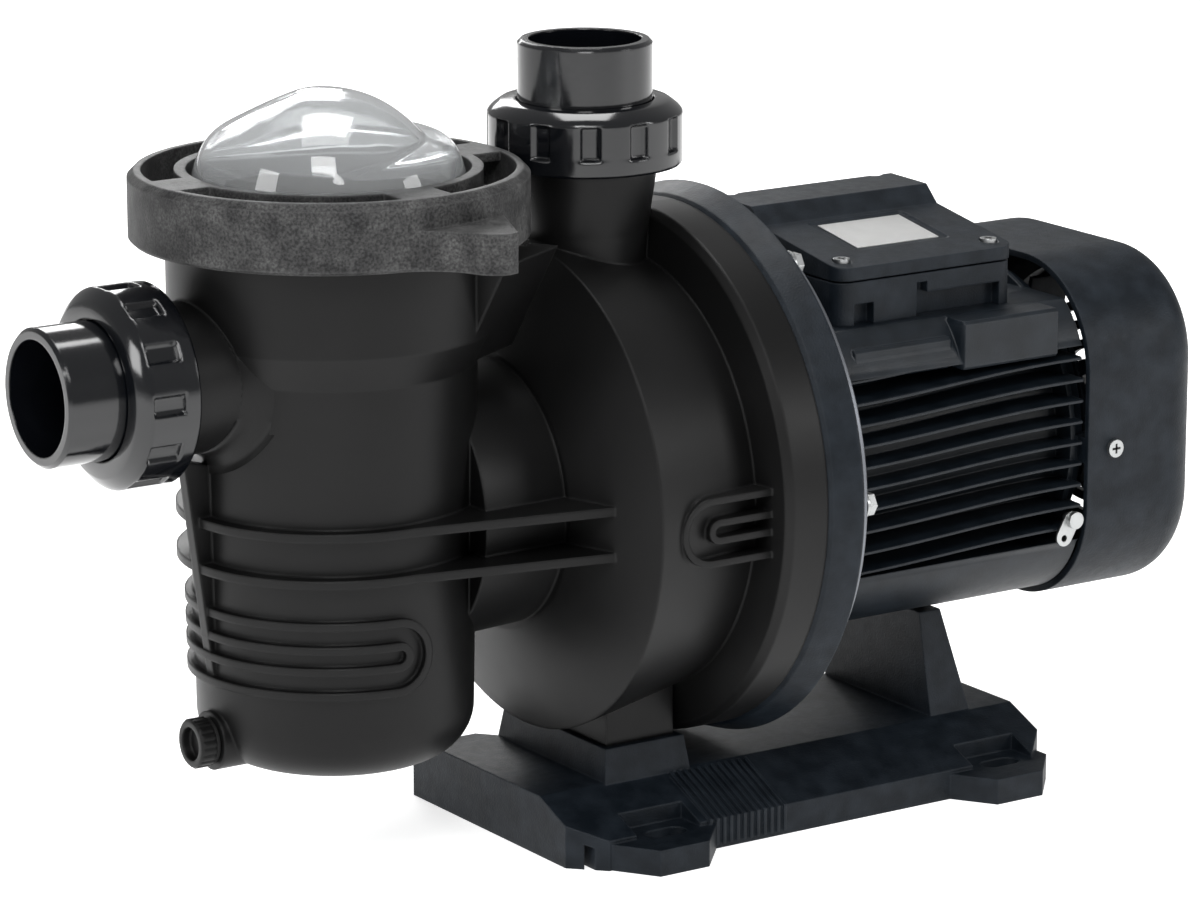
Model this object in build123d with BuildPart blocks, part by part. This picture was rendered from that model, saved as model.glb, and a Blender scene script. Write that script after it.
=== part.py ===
from build123d import *
import os
from math import atan, cos, degrees, radians, sin

# A self-priming pool pump: strainer pot and volute in one moulding, a seal plate, and a finned fan-cooled motor
# that share one horizontal shaft along X, all carried by a slotted base. Millimetres, +Z up.
# The origin is the centre of the four floor slots, on the underside of the base.
os.makedirs("parts", exist_ok=True)

# ---------------------------------------------------------------- driving dimensions
shaft_height = 159.0        # floor to shaft axis
plate_x = -22.0             # rear face of the seal plate, from the origin
pot_reach = 196.0           # seal plate to strainer pot axis
inlet_rise = 71.0           # suction axis above the shaft
outlet_reach = 64.3         # seal plate to discharge axis

# seal plate and the flange stack bolted to it
plate_t = 17.0
plate_r_rear = 126.5
plate_r_front = 122.3
shield_r = 119.5
shield_t = 6.0
flange_bolt_r = 3.0
flange_bolt_circle_r = 113.0
flange_bolt_count = 6
bolt_clearance = 0.3        # round each bolt shank
spigot_t = 6.0              # step of the seal plate inside the drum

# volute drum
rim_r = 121.0
rim_front = -38.0
drum_rear_r = 100.0
drum_rear = -41.0
drum_front_r = 111.0
drum_front = -97.0
nose_r = 63.0
nose_front = -114.0
wall = 5.0
cavity_r = 95.0
duct_r = 60.0
chamber_r = 45.0
eye_hole_r = 28.5

# strainer pot, heights from the shaft
pot_r = 63.5
pot_low_r = 61.0
pot_bottom = -106.0
pot_corner_r = 22.0
pot_straight_top = 70.0
collar_r = 71.0
collar_low = 85.0
collar_top = 118.0
neck_r = 74.0
neck_top = 136.0
pot_wall = 5.0
basket_ledge = 38.0

# lid and ring
ring_r = 86.7
ring_low = 124.6
ring_top = 154.8
ring_wall = 6.0
ring_plate_t = 4.0
ring_opening_r = 61.5
lid_flange_r = 73.0
lid_t = 4.0
lid_dome_r = 59.0
lid_peak = 191.0
lid_peak_shift = -10.0
lid_clearance = 0.4
lug_low = 124.6
lug_top = 142.0
ring_bridge = 24.0

# unions
union_bore_r = 25.0         # water way of the pump's own spigots
pipe_socket_r = 25.1        # takes a 50 mm pressure pipe
pipe_socket_depth = 30.0
tail_r = 30.0
tail_flange_r = 35.5
tail_flange_t = 4.0
tail_length = 36.0
thread_r = 36.0             # spigot thread, drawn plain
nut_r = 43.6
nut_length = 28.5
nut_lip_t = 5.0
nut_pads = 12
nut_pad_depth = 2.2
nut_solid_band = 7.0
thread_clearance = 0.5
seat_gap = 0.3              # between faces that meet but belong to different moving pieces
spigot_length = 19.0
suction_shoulder = 284.0    # seal plate to the shoulder of the suction spigot
discharge_shoulder = 143.0  # shaft to the shoulder of the discharge spigot
o_ring_r = 1.6
groove_r = 30.5

# drain plug
drain_drop = 92.0
drain_bore_r = 7.0
drain_cap_r = 11.0
drain_cap_t = 7.5
drain_boss_r = 13.0
drain_boss_reach = 63.5     # pot axis to the face of the drain boss

# shaft and rotor
shaft_wet_r = 8.0
bearing_bore_r = 8.5
shaft_core_r = 10.0
running = 0.03
bearing_outer_r = 20.0
bearing_w = 12.0
rotor_r = 32.6
stator_bore_r = 33.2
stator_r = 58.0
stack_front = 52.0
stack_rear = 122.0

# motor frame and covers
frame_front = shield_t
frame_rear = 158.0
frame_half_w = 80.0
frame_half_h = 77.0
frame_corner_r = 46.0
frame_core_r = 63.0
fin_pitch = 9.9
fin_t = 2.6
fin_count = 10
rear_shield_t = 6.0
cover_rear = 228.0
cover_half = 81.0
cover_corner_r = 50.0
cover_wall = 3.0
cover_edge_r = 18.0

# terminal box, heights from the shaft
box_low = 66.0
box_parting = 86.0
box_front_x = 32.0
box_rear_x = 132.0
box_half_y = 60.0
box_back_y = 48.0
box_lid_edge = 92.8
box_lid_step = 102.6
box_plateau = 111.0
box_wall = 3.0
box_corner_r = 8.0
lid_screw_r = 3.8

# base, heights from the floor
slot_spacing_x = 187.0
slot_spacing_y = 152.0
slot_w = 10.5
slot_length = 20.0
base_front = -117.0
base_rear = 147.0
base_half_w = 78.0
base_edge = 13.8
base_top = 28.0
base_top_half_w = 43.0
base_corner = 14.0
base_wall = 4.0
base_web = 8.0
lug_reach = 97.0
lug_pad = 12.0
pedestal_front = -81.0
pedestal_rear = -39.0
pedestal_top = 43.0
pedestal_half_w = 46.0
support_front = 101.0
support_low_rear = 125.0
support_top_rear = 113.0
support_top = 76.0
support_half_w = 42.0
support_top_half_w = 32.0


# ---------------------------------------------------------------- places
def across(x, turn=0.0):
    """Plane square to the shaft, x mm behind the seal plate; its axes are world Y and Z, turned by an angle."""
    turned_y = (0, cos(radians(turn)), sin(radians(turn)))
    return Plane(origin=(plate_x + x, 0, shaft_height), x_dir=turned_y, z_dir=(1, 0, 0))


def level(h):
    """Horizontal plane h mm above the shaft, with its origin over the seal plate."""
    return Plane(origin=(plate_x, 0, shaft_height + h), x_dir=(1, 0, 0), z_dir=(0, 0, 1))


def floor_level(h):
    """Horizontal plane h mm above the floor, with its origin over the seal plate."""
    return Plane(origin=(plate_x, 0, h), x_dir=(1, 0, 0), z_dir=(0, 0, 1))


def upright(y):
    """Vertical plane along the shaft, y mm off the middle, facing -Y: x along the shaft, y up."""
    return Plane(origin=(plate_x, y, shaft_height), x_dir=(1, 0, 0), z_dir=(0, -1, 0))


side = upright(0)
shaft_axis = Axis((plate_x, 0, shaft_height), (1, 0, 0))

pot_x = plate_x - pot_reach
pot_side = Plane(origin=(pot_x, 0, shaft_height), x_dir=(1, 0, 0), z_dir=(0, -1, 0))
pot_axis = Axis((pot_x, 0, shaft_height), (0, 0, 1))


def pot_level(h):
    return Plane(origin=(pot_x, 0, shaft_height + h), x_dir=(1, 0, 0), z_dir=(0, 0, 1))


outlet_x = plate_x - outlet_reach
inlet_height = shaft_height + inlet_rise
drain_height = shaft_height - drain_drop
# union frames: z points out of the pump along the pipe, origin on the shoulder of the pump's spigot
suction = Plane(origin=(plate_x - suction_shoulder, 0, inlet_height), x_dir=(0, 0, 1), z_dir=(-1, 0, 0))
discharge = Plane(origin=(outlet_x, 0, shaft_height + discharge_shoulder), x_dir=(1, 0, 0), z_dir=(0, 0, 1))
drain = Plane(origin=(pot_x - drain_boss_reach, 0, drain_height), x_dir=(0, 0, 1), z_dir=(-1, 0, 0))


def section_of(frame):
    """The plane holding a frame's x and z axes, for a profile of (radius, height) revolved about z."""
    return Plane(origin=frame.origin, x_dir=frame.x_dir, z_dir=frame.x_dir.cross(frame.z_dir))


def axis_of(frame):
    return Axis(frame.origin, frame.z_dir)


def finish(piece, name):
    piece.part.label = name
    export_step(piece.part, f"parts/{name}.step")


def turned(plane, axis, points):
    """Sketch a closed outline on the plane and revolve it about the axis, inside the open part."""
    with BuildSketch(plane) as outline:
        with BuildLine():
            Polyline(*points, close=True)
        make_face()
    revolve(outline.sketch, axis=axis)


# ---------------------------------------------------------------- pump housing
belt_heights = (7.0, -13.5)
belt_t = 4.0
belt_stand = 5.0
belt_drum_half_w = 88.0
hairpins = ((-185.0, -33.0, -64.0), (-195.0, -43.5, -53.0))     # tip, upper run, lower run
hairpin_t = 3.6
hairpin_stand = 3.5
drum_ribs = ((-86.0, 13.0, -18.0), (-72.0, 3.0, -8.0))          # tip, upper run, lower run
drum_rib_t = 3.0
spigot_web_t = 6.0
duct_pot_r = 62.0
gusset_low = 73.0
gusset_top = 119.0
gusset_r = 86.0
gusset_turn = 120.0
foot_front = pedestal_front + 3
foot_rear = pedestal_rear - 3
foot_half_w = 38.0
foot_low = pedestal_top - shaft_height


def pot_wall_r(height):
    """Outside radius of the tapered pot at a height from the shaft."""
    low = pot_bottom + pot_corner_r
    return pot_low_r + (pot_r - pot_low_r) * (height - low) / (pot_straight_top - low)


# two nested hairpin ribs that wrap round the front half of the pot, cut from a thin shell over its wall
with BuildPart() as hairpin_ribs:
    with BuildSketch(side):
        for tip, upper, lower in hairpins:
            run = pot_reach + 2 * pot_r + tip
            with Locations((tip - run / 2, (upper + lower) / 2)):
                SlotOverall(run, upper - lower + hairpin_t)
                SlotOverall(run - 2 * hairpin_t, upper - lower - hairpin_t, mode=Mode.SUBTRACT)
    extrude(amount=pot_r + hairpin_stand, both=True)
    with BuildSketch(pot_side, mode=Mode.PRIVATE) as shell:
        with BuildLine():
            Polyline(
                (pot_wall_r(-70) - 2, -70), (pot_wall_r(-70) + hairpin_stand, -70),
                (pot_wall_r(-28) + hairpin_stand, -28), (pot_wall_r(-28) - 2, -28), close=True,
            )
        make_face()
    revolve(shell.sketch, axis=pot_axis, mode=Mode.INTERSECT)

with BuildPart() as pump_housing:
    # volute drum: bolting rim, drum widening to the front, shallow nose
    with BuildSketch(side):
        with BuildLine():
            Polyline(
                (-plate_t, 0), (-plate_t, rim_r), (rim_front + 3, rim_r), (rim_front, rim_r - 3),
                (drum_rear, drum_rear_r), (drum_front, drum_front_r), (nose_front, nose_r), (nose_front, 0),
                close=True,
            )
        make_face()
    revolve(axis=shaft_axis)
    # duct between drum and pot, a little wider at the pot
    turned(
        side, shaft_axis,
        [(nose_front + wall, 0), (nose_front + wall, duct_r), (nose_front, duct_r), (40 - pot_reach, duct_pot_r),
         (40 - pot_reach, 0)],
    )
    # strainer pot
    with BuildSketch(pot_side):
        with BuildLine():
            Polyline(
                (pot_low_r, pot_bottom + pot_corner_r), (pot_r, pot_straight_top),
                (collar_r, collar_low), (collar_r, neck_top), (0, neck_top), (0, pot_bottom),
                (pot_low_r - pot_corner_r, pot_bottom),
            )
            RadiusArc(
                (pot_low_r - pot_corner_r, pot_bottom), (pot_low_r, pot_bottom + pot_corner_r), -pot_corner_r
            )
        make_face()
    revolve(axis=pot_axis)
    # bayonet ramps under the lid ring
    with BuildSketch(pot_level(collar_top + 8)):
        Circle(neck_r)
        with PolarLocations(0, 4, start_angle=45):
            with Locations((neck_r, 0)):
                Rectangle(neck_r, 62, mode=Mode.SUBTRACT)
    extrude(amount=6)
    # belt ribs that run from round the pot to the drum
    for height in belt_heights:
        with BuildSketch(level(height - belt_t / 2)):
            with BuildLine():
                Polyline(
                    (-pot_reach, pot_r + belt_stand), (drum_front, belt_drum_half_w),
                    (drum_front, -belt_drum_half_w), (-pot_reach, -pot_r - belt_stand), close=True,
                )
            make_face()
            with Locations((-pot_reach, 0)):
                Circle(pot_r + belt_stand)
        extrude(amount=belt_t)
    # hairpin ribs below the belts
    add(hairpin_ribs.part)
    # web that tapers down the front of the pot, under the suction spigot
    with BuildSketch(side):
        with BuildLine():
            Polyline(
                (-pot_reach - pot_r + 3, inlet_rise - 40), (-pot_reach - pot_r - 12, inlet_rise - 36),
                (-pot_reach - pot_wall_r(-66) - 1, -66), (-pot_reach - pot_wall_r(-66) + 3, -66), close=True,
            )
        make_face()
    extrude(amount=spigot_web_t / 2, both=True)
    # gusset on the drum side, under the lid ring
    with BuildSketch(Plane(pot_side.origin, x_dir=(cos(radians(gusset_turn / 2)), -sin(radians(gusset_turn / 2)), 0),
                           z_dir=(-sin(radians(gusset_turn / 2)), -cos(radians(gusset_turn / 2)), 0))) as gusset:
        with BuildLine():
            Polyline(
                (pot_r - 4, gusset_low), (pot_wall_r(gusset_low), gusset_low), (gusset_r, gusset_top),
                (collar_r - 3, gusset_top), close=True,
            )
        make_face()
    revolve(gusset.sketch, axis=pot_axis, revolution_arc=gusset_turn)
    # suction spigot
    with BuildSketch(suction):
        Circle(thread_r - 3)
    extrude(amount=-(suction_shoulder - pot_reach - 40))
    with BuildSketch(suction):
        Circle(thread_r)
    extrude(amount=spigot_length)
    # discharge neck and spigot
    turned(
        section_of(discharge),
        axis_of(discharge),
        [(0, -60), (26, -60), (28, -30), (32, -3), (32, 0), (thread_r, 0), (thread_r, spigot_length),
         (0, spigot_length)],
    )
    # drain boss
    with BuildSketch(drain):
        Circle(drain_boss_r)
    extrude(amount=-24)
    # foot on the pedestal
    with BuildSketch(level(foot_low)):
        with Locations(((foot_front + foot_rear) / 2, 0)):
            Rectangle(foot_rear - foot_front, 2 * foot_half_w)
    extrude(amount=30)
    # nested U ribs on the sides of the drum
    for sign in (1, -1):
        with BuildSketch(upright(sign * (drum_front_r - 1))):
            for tip, upper, lower in drum_ribs:
                run = rim_front - tip + 20
                with Locations((tip + run / 2, (upper + lower) / 2)):
                    SlotOverall(run, upper - lower)
                with Locations((tip + run / 2 + drum_rib_t, (upper + lower) / 2)):
                    SlotOverall(run, upper - lower - 2 * drum_rib_t, mode=Mode.SUBTRACT)
            with Locations((rim_front + 60, 0)):
                Rectangle(120 + 2, 80, mode=Mode.SUBTRACT)
        extrude(amount=sign * 16)
    # volute cavity
    with BuildSketch(side):
        with BuildLine():
            Polyline(
                (-plate_t, 0), (-plate_t, cavity_r), (drum_rear, cavity_r), (drum_front + wall, drum_front_r - wall),
                (nose_front + wall, nose_r - wall), (nose_front + wall, 0), close=True,
            )
        make_face()
    revolve(axis=shaft_axis, mode=Mode.SUBTRACT)
    # eye hole and suction chamber
    with BuildSketch(across(0)):
        Circle(eye_hole_r)
    extrude(amount=nose_front - 10, mode=Mode.SUBTRACT)
    with BuildSketch(across(nose_front)):
        Circle(chamber_r)
    extrude(amount=-(pot_reach + nose_front - 30), mode=Mode.SUBTRACT)
    # pot cavity with the ledge that carries the basket
    with BuildSketch(pot_side):
        with BuildLine():
            Polyline(
                (0, neck_top), (pot_r - pot_wall, neck_top), (pot_r - pot_wall, basket_ledge),
                (pot_r - pot_wall - 3, basket_ledge), (pot_low_r - pot_wall, pot_bottom + pot_corner_r),
                (pot_low_r - pot_wall - 12, pot_bottom + pot_wall), (0, pot_bottom + pot_wall), close=True,
            )
        make_face()
    revolve(axis=pot_axis, mode=Mode.SUBTRACT)
    # water ways of the two spigots, and their O-ring grooves
    with BuildSketch(suction.offset(spigot_length)):
        Circle(union_bore_r)
    extrude(amount=-(suction_shoulder + spigot_length - pot_reach - 30), mode=Mode.SUBTRACT)
    with BuildSketch(discharge.offset(spigot_length)):
        Circle(union_bore_r)
    extrude(amount=-(discharge_shoulder + spigot_length - 60), mode=Mode.SUBTRACT)
    for frame in (suction, discharge):
        with BuildSketch(frame.offset(spigot_length)):
            Circle(groove_r + o_ring_r)
            Circle(groove_r - o_ring_r, mode=Mode.SUBTRACT)
        extrude(amount=-2 * o_ring_r, mode=Mode.SUBTRACT)
    # drain hole
    with BuildSketch(drain):
        Circle(drain_bore_r)
    extrude(amount=-30, mode=Mode.SUBTRACT)
    # bolt holes through the rim, and foot screw holes
    with BuildSketch(across(-plate_t)):
        with PolarLocations(flange_bolt_circle_r, flange_bolt_count):
            Circle(flange_bolt_r + bolt_clearance)
    extrude(amount=rim_front + plate_t + 3, mode=Mode.SUBTRACT)
    with BuildSketch(level(foot_low)):
        with Locations(((foot_front + foot_rear) / 2, 22), ((foot_front + foot_rear) / 2, -22)):
            Circle(3.0)
    extrude(amount=9, mode=Mode.SUBTRACT)
finish(pump_housing, "pump_housing")

# ---------------------------------------------------------------- lid, gasket, ring
lid_seat = neck_top + 1.0     # top of the squeezed gasket

with BuildPart() as lid_gasket:
    turned(
        pot_side, pot_axis,
        [(pot_r - pot_wall + 1, neck_top), (neck_r - 4, neck_top), (neck_r - 4, lid_seat),
         (pot_r - pot_wall + 1, lid_seat)],
    )
finish(lid_gasket, "lid_gasket")

dome_low = ring_top - 6
bump_side = Plane(origin=(pot_x + lid_peak_shift, 0, shaft_height), x_dir=(1, 0, 0), z_dir=(0, -1, 0))
bump_axis = Axis(bump_side.origin, (0, 0, 1))
bump_r = lid_dome_r + lid_peak_shift - 1


def bump_profile(inset):
    """Half outline of the tall dome, inset by a wall: steep at the foot and round at the top."""
    rise = lid_peak - dome_low
    shape = ((1.0, 0.0), (0.93, 0.25), (0.78, 0.5), (0.55, 0.75), (0.27, 0.93), (0.0, 1.0))
    return [(0, dome_low)] + [(r * (bump_r - inset), dome_low + h * (rise - inset)) for r, h in shape]


with BuildPart() as strainer_lid:
    # flange, spigot and low dome
    turned(
        pot_side, pot_axis,
        [(0, lid_seat), (lid_flange_r, lid_seat), (lid_flange_r, lid_seat + lid_t), (lid_dome_r, lid_seat + lid_t),
         (lid_dome_r, dome_low), (50, ring_top + 4), (38, ring_top + 9), (20, ring_top + 13), (0, ring_top + 14)],
    )
    # tall clear dome, set off centre
    turned(bump_side, bump_axis, bump_profile(0))
    # hollow underside
    with BuildSketch(pot_side):
        with BuildLine():
            Polyline(
                (0, lid_seat), (lid_dome_r - lid_t, lid_seat), (lid_dome_r - lid_t, dome_low - 1),
                (46, ring_top), (0, ring_top + 9), close=True,
            )
        make_face()
    revolve(axis=pot_axis, mode=Mode.SUBTRACT)
    with BuildSketch(bump_side):
        with BuildLine():
            Polyline(*bump_profile(lid_t), close=True)
        make_face()
    revolve(axis=bump_axis, mode=Mode.SUBTRACT)
finish(strainer_lid, "strainer_lid")

ring_clamp = lid_seat + lid_t + lid_clearance
lug_angles = (0, 180)
with BuildPart() as lid_ring:
    with BuildSketch(pot_side):
        with BuildLine():
            Polyline(
                (ring_r - ring_wall, ring_low), (ring_r - 1.5, ring_low), (ring_r, ring_low + 1.5),
                (ring_r, ring_top - 3), (ring_r - 3, ring_top), (ring_opening_r, ring_top),
                (ring_opening_r, ring_clamp), (ring_opening_r + 5, ring_clamp),
                (ring_opening_r + 5, ring_top - ring_plate_t), (ring_r - ring_wall, ring_top - ring_plate_t),
                close=True,
            )
        make_face()
    revolve(axis=pot_axis)
    # grip lugs: a hollow-backed lead-in on one side and a square thick end on the other
    for turn in lug_angles:
        with BuildSketch(pot_level(lug_low).rotated((0, 0, turn))):
            with BuildLine():
                ThreePointArc((-18, -83), (-2, -90), (8, -102))
                ThreePointArc((8, -102), (13, -110), (20, -113))
                Line((20, -113), (25, -111.5))
                Line((25, -111.5), (41, -74))
                Line((41, -74), (-18, -83))
            make_face()
        extrude(amount=lug_top - lug_low)
    # arc windows through the top, between rim and collar
    with BuildSketch(pot_level(ring_top)):
        Circle(ring_r - ring_wall)
        Circle(ring_opening_r + 5, mode=Mode.SUBTRACT)
        Rectangle(2 * ring_r, ring_bridge, mode=Mode.SUBTRACT)
        Rectangle(ring_bridge, 2 * ring_r, mode=Mode.SUBTRACT)
    extrude(amount=-ring_plate_t, mode=Mode.SUBTRACT)
finish(lid_ring, "lid_ring")

# ---------------------------------------------------------------- strainer basket
basket_r = pot_r - pot_wall - 6.5
basket_low_r = pot_low_r - pot_wall - 6
basket_bottom = pot_bottom + pot_corner_r + 1
basket_wall = 2.0
basket_rim_t = 4.0
with BuildPart() as strainer_basket:
    turned(
        pot_side, pot_axis,
        [(0, basket_bottom), (basket_low_r, basket_bottom), (basket_r, basket_ledge + seat_gap),
         (pot_r - pot_wall - 0.6, basket_ledge + seat_gap), (pot_r - pot_wall - 0.6, basket_ledge + basket_rim_t),
         (basket_r - basket_wall, basket_ledge + basket_rim_t),
         (basket_low_r - basket_wall, basket_bottom + basket_wall),
         (0, basket_bottom + basket_wall)],
    )
    # rows of slots in the wall
    for row in range(5):
        slot_low = basket_bottom + 10 + 22 * row
        with BuildSketch(pot_level(slot_low)):
            with PolarLocations(0, 8):
                Rectangle(2 * pot_r, 5)
            Circle(basket_low_r - basket_wall - 4, mode=Mode.SUBTRACT)
        extrude(amount=16, mode=Mode.SUBTRACT)
    # holes in the floor
    with BuildSketch(pot_level(basket_bottom)):
        with GridLocations(13, 13, 5, 5):
            Circle(3.2)
    extrude(amount=basket_wall, mode=Mode.SUBTRACT)
    # bail across the mouth
    with BuildSketch(upright(0)):
        with Locations((-pot_reach, basket_ledge + basket_rim_t)):
            Circle(basket_r - 0.5)
            Circle(basket_r - 4.5, mode=Mode.SUBTRACT)
            with Locations((0, -basket_r)):
                Rectangle(2 * basket_r, 2 * basket_r, mode=Mode.SUBTRACT)
    extrude(amount=3.5, both=True)
finish(strainer_basket, "strainer_basket")


# ---------------------------------------------------------------- unions
tail_seat = spigot_length + seat_gap
nut_front = tail_seat + tail_flange_t + seat_gap + nut_lip_t


def union_tail(frame):
    with BuildPart() as tail:
        turned(
            section_of(frame), axis_of(frame),
            [(pipe_socket_r - 2.6, tail_seat), (tail_flange_r, tail_seat),
             (tail_flange_r, tail_seat + tail_flange_t), (tail_r, tail_seat + tail_flange_t),
             (tail_r, tail_seat + tail_length - 1.5), (tail_r - 1.5, tail_seat + tail_length),
             (pipe_socket_r, tail_seat + tail_length), (pipe_socket_r, tail_seat + tail_length - pipe_socket_depth),
             (pipe_socket_r - 2.6, tail_seat + tail_length - pipe_socket_depth)],
        )
    return tail


def union_nut(frame):
    with BuildPart() as nut:
        turned(
            section_of(frame), axis_of(frame),
            [(thread_r + thread_clearance, nut_front - nut_length), (nut_r, nut_front - nut_length),
             (nut_r, nut_front - 5), (nut_r - 6, nut_front), (tail_r + 0.8, nut_front),
             (tail_r + 0.8, nut_front - nut_lip_t), (thread_r + thread_clearance, nut_front - nut_lip_t)],
        )
        # grip: shallow recesses between raised pads, left solid at the pump end
        with BuildSketch(frame.offset(nut_front - nut_length + nut_solid_band)):
            with PolarLocations(nut_r, nut_pads):
                Rectangle(2 * nut_pad_depth, nut_r * sin(radians(180 / nut_pads)) * 0.98)
        extrude(amount=nut_length, mode=Mode.SUBTRACT)
    return nut


def face_o_ring(frame):
    ring_frame = section_of(frame)
    with BuildPart() as ring:
        with BuildSketch(ring_frame):
            with Locations((groove_r, spigot_length - o_ring_r)):
                Circle(o_ring_r)
        revolve(axis=axis_of(frame))
    return ring


for port, frame in (("suction", suction), ("discharge", discharge)):
    finish(union_tail(frame), f"{port}_union_tail")
    finish(union_nut(frame), f"{port}_union_nut")
    finish(face_o_ring(frame), f"{port}_o_ring")

# ---------------------------------------------------------------- drain plug
drain_seal_t = 2.0
with BuildPart() as drain_o_ring:
    turned(
        section_of(drain), axis_of(drain),
        [(drain_bore_r + 0.2, seat_gap), (drain_cap_r - 1, seat_gap), (drain_cap_r - 1, drain_seal_t),
         (drain_bore_r + 0.2, drain_seal_t)],
    )
finish(drain_o_ring, "drain_o_ring")

with BuildPart() as drain_plug:
    cap_low = drain_seal_t + seat_gap
    turned(
        section_of(drain), axis_of(drain),
        [(0, -9), (drain_bore_r - 0.4, -9), (drain_bore_r - 0.4, cap_low), (drain_cap_r, cap_low),
         (drain_cap_r, cap_low + drain_cap_t - 1), (drain_cap_r - 1, cap_low + drain_cap_t),
         (drain_cap_r - 3.5, cap_low + drain_cap_t), (drain_cap_r - 4, cap_low + drain_cap_t - 4),
         (0, cap_low + drain_cap_t - 4)],
    )
    with BuildSketch(drain.offset(cap_low)):
        with PolarLocations(drain_cap_r + 0.4, 20):
            Circle(0.9)
    extrude(amount=drain_cap_t, mode=Mode.SUBTRACT)
finish(drain_plug, "drain_plug")

# ---------------------------------------------------------------- seal plate and its O-ring
hub_r = 26.0
seat_r = 17.0
casing_groove_r = 99.0
with BuildPart() as seal_plate:
    turned(
        side, shaft_axis,
        [(0, shaft_wet_r + 3), (0, plate_r_rear - 2), (-2, plate_r_rear), (-plate_t + 2, plate_r_front),
         (-plate_t, plate_r_front - 2), (-plate_t, cavity_r - 0.4), (-plate_t - spigot_t, cavity_r - 1.5),
         (-plate_t - spigot_t, cavity_r - 8), (-plate_t, cavity_r - 12), (-plate_t, hub_r), (-plate_t - 9, hub_r - 2),
         (-plate_t - 9, seat_r), (-plate_t + 3, seat_r), (-plate_t + 3, shaft_wet_r + 3)],
    )
    with BuildSketch(across(-plate_t)):
        Circle(casing_groove_r + o_ring_r)
        Circle(casing_groove_r - o_ring_r, mode=Mode.SUBTRACT)
    extrude(amount=2 * o_ring_r, mode=Mode.SUBTRACT)
    # recess for the slinger and shallow pockets in the rear face
    with BuildSketch(across(0)):
        Circle(hub_r)
    extrude(amount=-5, mode=Mode.SUBTRACT)
    with BuildSketch(across(0)):
        with PolarLocations(flange_bolt_circle_r, flange_bolt_count):
            Circle(flange_bolt_r + bolt_clearance)
    extrude(amount=-plate_t, mode=Mode.SUBTRACT)
finish(seal_plate, "seal_plate")

with BuildPart() as casing_o_ring:
    with BuildSketch(side):
        with Locations((-plate_t + o_ring_r, casing_groove_r)):
            Circle(o_ring_r)
    revolve(axis=shaft_axis)
finish(casing_o_ring, "casing_o_ring")

# ---------------------------------------------------------------- front end shield and flange bolts
shield_hub_rear = 26.0
front_bearing_x = 13.0
with BuildPart() as front_end_shield:
    turned(
        side, shaft_axis,
        [(0, bearing_bore_r + 2), (0, shield_r - 1), (1, shield_r), (shield_t - 1, shield_r), (shield_t, shield_r - 1),
         (shield_t, frame_core_r - 4), (shield_t + 6, frame_core_r - 4), (shield_t + 6, frame_core_r - 9),
         (shield_t, frame_core_r - 12), (shield_t, bearing_outer_r + 9), (shield_hub_rear, bearing_outer_r + 6),
         (shield_hub_rear, bearing_outer_r), (front_bearing_x, bearing_outer_r), (front_bearing_x, bearing_bore_r + 4),
         (10, bearing_bore_r + 2)],
    )
    with BuildSketch(across(0)):
        with PolarLocations(flange_bolt_circle_r, flange_bolt_count):
            Circle(flange_bolt_r + bolt_clearance)
    extrude(amount=shield_t, mode=Mode.SUBTRACT)
finish(front_end_shield, "front_end_shield")

bolt_tip = rim_front + 4
bolt_head_r = 5.5
bolt_head_t = 4.2
washer_r = 6.2
washer_t = 1.4
with BuildPart() as flange_bolts:
    with BuildSketch(across(bolt_tip)):
        with PolarLocations(flange_bolt_circle_r, flange_bolt_count):
            Circle(flange_bolt_r)
    extrude(amount=shield_t + washer_t - bolt_tip)
    with BuildSketch(across(shield_t + washer_t)):
        with PolarLocations(flange_bolt_circle_r, flange_bolt_count):
            RegularPolygon(bolt_head_r, 6)
    extrude(amount=bolt_head_t)
finish(flange_bolts, "flange_bolts")

with BuildPart() as flange_washers:
    with BuildSketch(across(shield_t)):
        with PolarLocations(flange_bolt_circle_r, flange_bolt_count):
            Circle(washer_r)
            Circle(flange_bolt_r + 0.1, mode=Mode.SUBTRACT)
    extrude(amount=washer_t)
finish(flange_washers, "flange_washers")

# ---------------------------------------------------------------- impeller group
impeller_r = 56.0
impeller_rear = -50.0
impeller_front = -74.0
shroud_t = 3.0
eye_r = 19.0
eye_neck_r = 22.0
eye_neck_front = -88.0
hub_front = -66.0
hub_rear = -44.0
impeller_hub_r = 14.0
vane_count = 6

with BuildPart() as impeller:
    turned(
        side, shaft_axis,
        [(hub_front, shaft_wet_r), (hub_front, impeller_hub_r - 3), (impeller_rear - shroud_t, impeller_hub_r + 4),
         (impeller_rear - shroud_t, impeller_r), (impeller_rear, impeller_r), (impeller_rear, impeller_hub_r),
         (hub_rear, impeller_hub_r), (hub_rear, shaft_wet_r)],
    )
    turned(
        side, shaft_axis,
        [(eye_neck_front, eye_r), (eye_neck_front, eye_neck_r), (impeller_front - 3, eye_neck_r),
         (impeller_front, eye_neck_r + 3), (impeller_front, impeller_r), (impeller_front + shroud_t, impeller_r),
         (impeller_front + shroud_t, eye_r + 4), (impeller_front, eye_r)],
    )
    for index in range(vane_count):
        with BuildSketch(across(impeller_front + 1, index * 360 / vane_count)):
            with BuildLine():
                vane_path = ThreePointArc((22, 4), (36, 22), (38, 39))
            trace(vane_path, line_width=3)
        extrude(amount=impeller_rear - impeller_front - 2)
finish(impeller, "impeller")

shaft_tip = -70.0
with BuildPart() as impeller_nut:
    with BuildSketch(across(hub_front)):
        RegularPolygon(9.5, 6)
        Circle(shaft_wet_r - 2, mode=Mode.SUBTRACT)
    extrude(amount=-6)
finish(impeller_nut, "impeller_nut")

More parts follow.
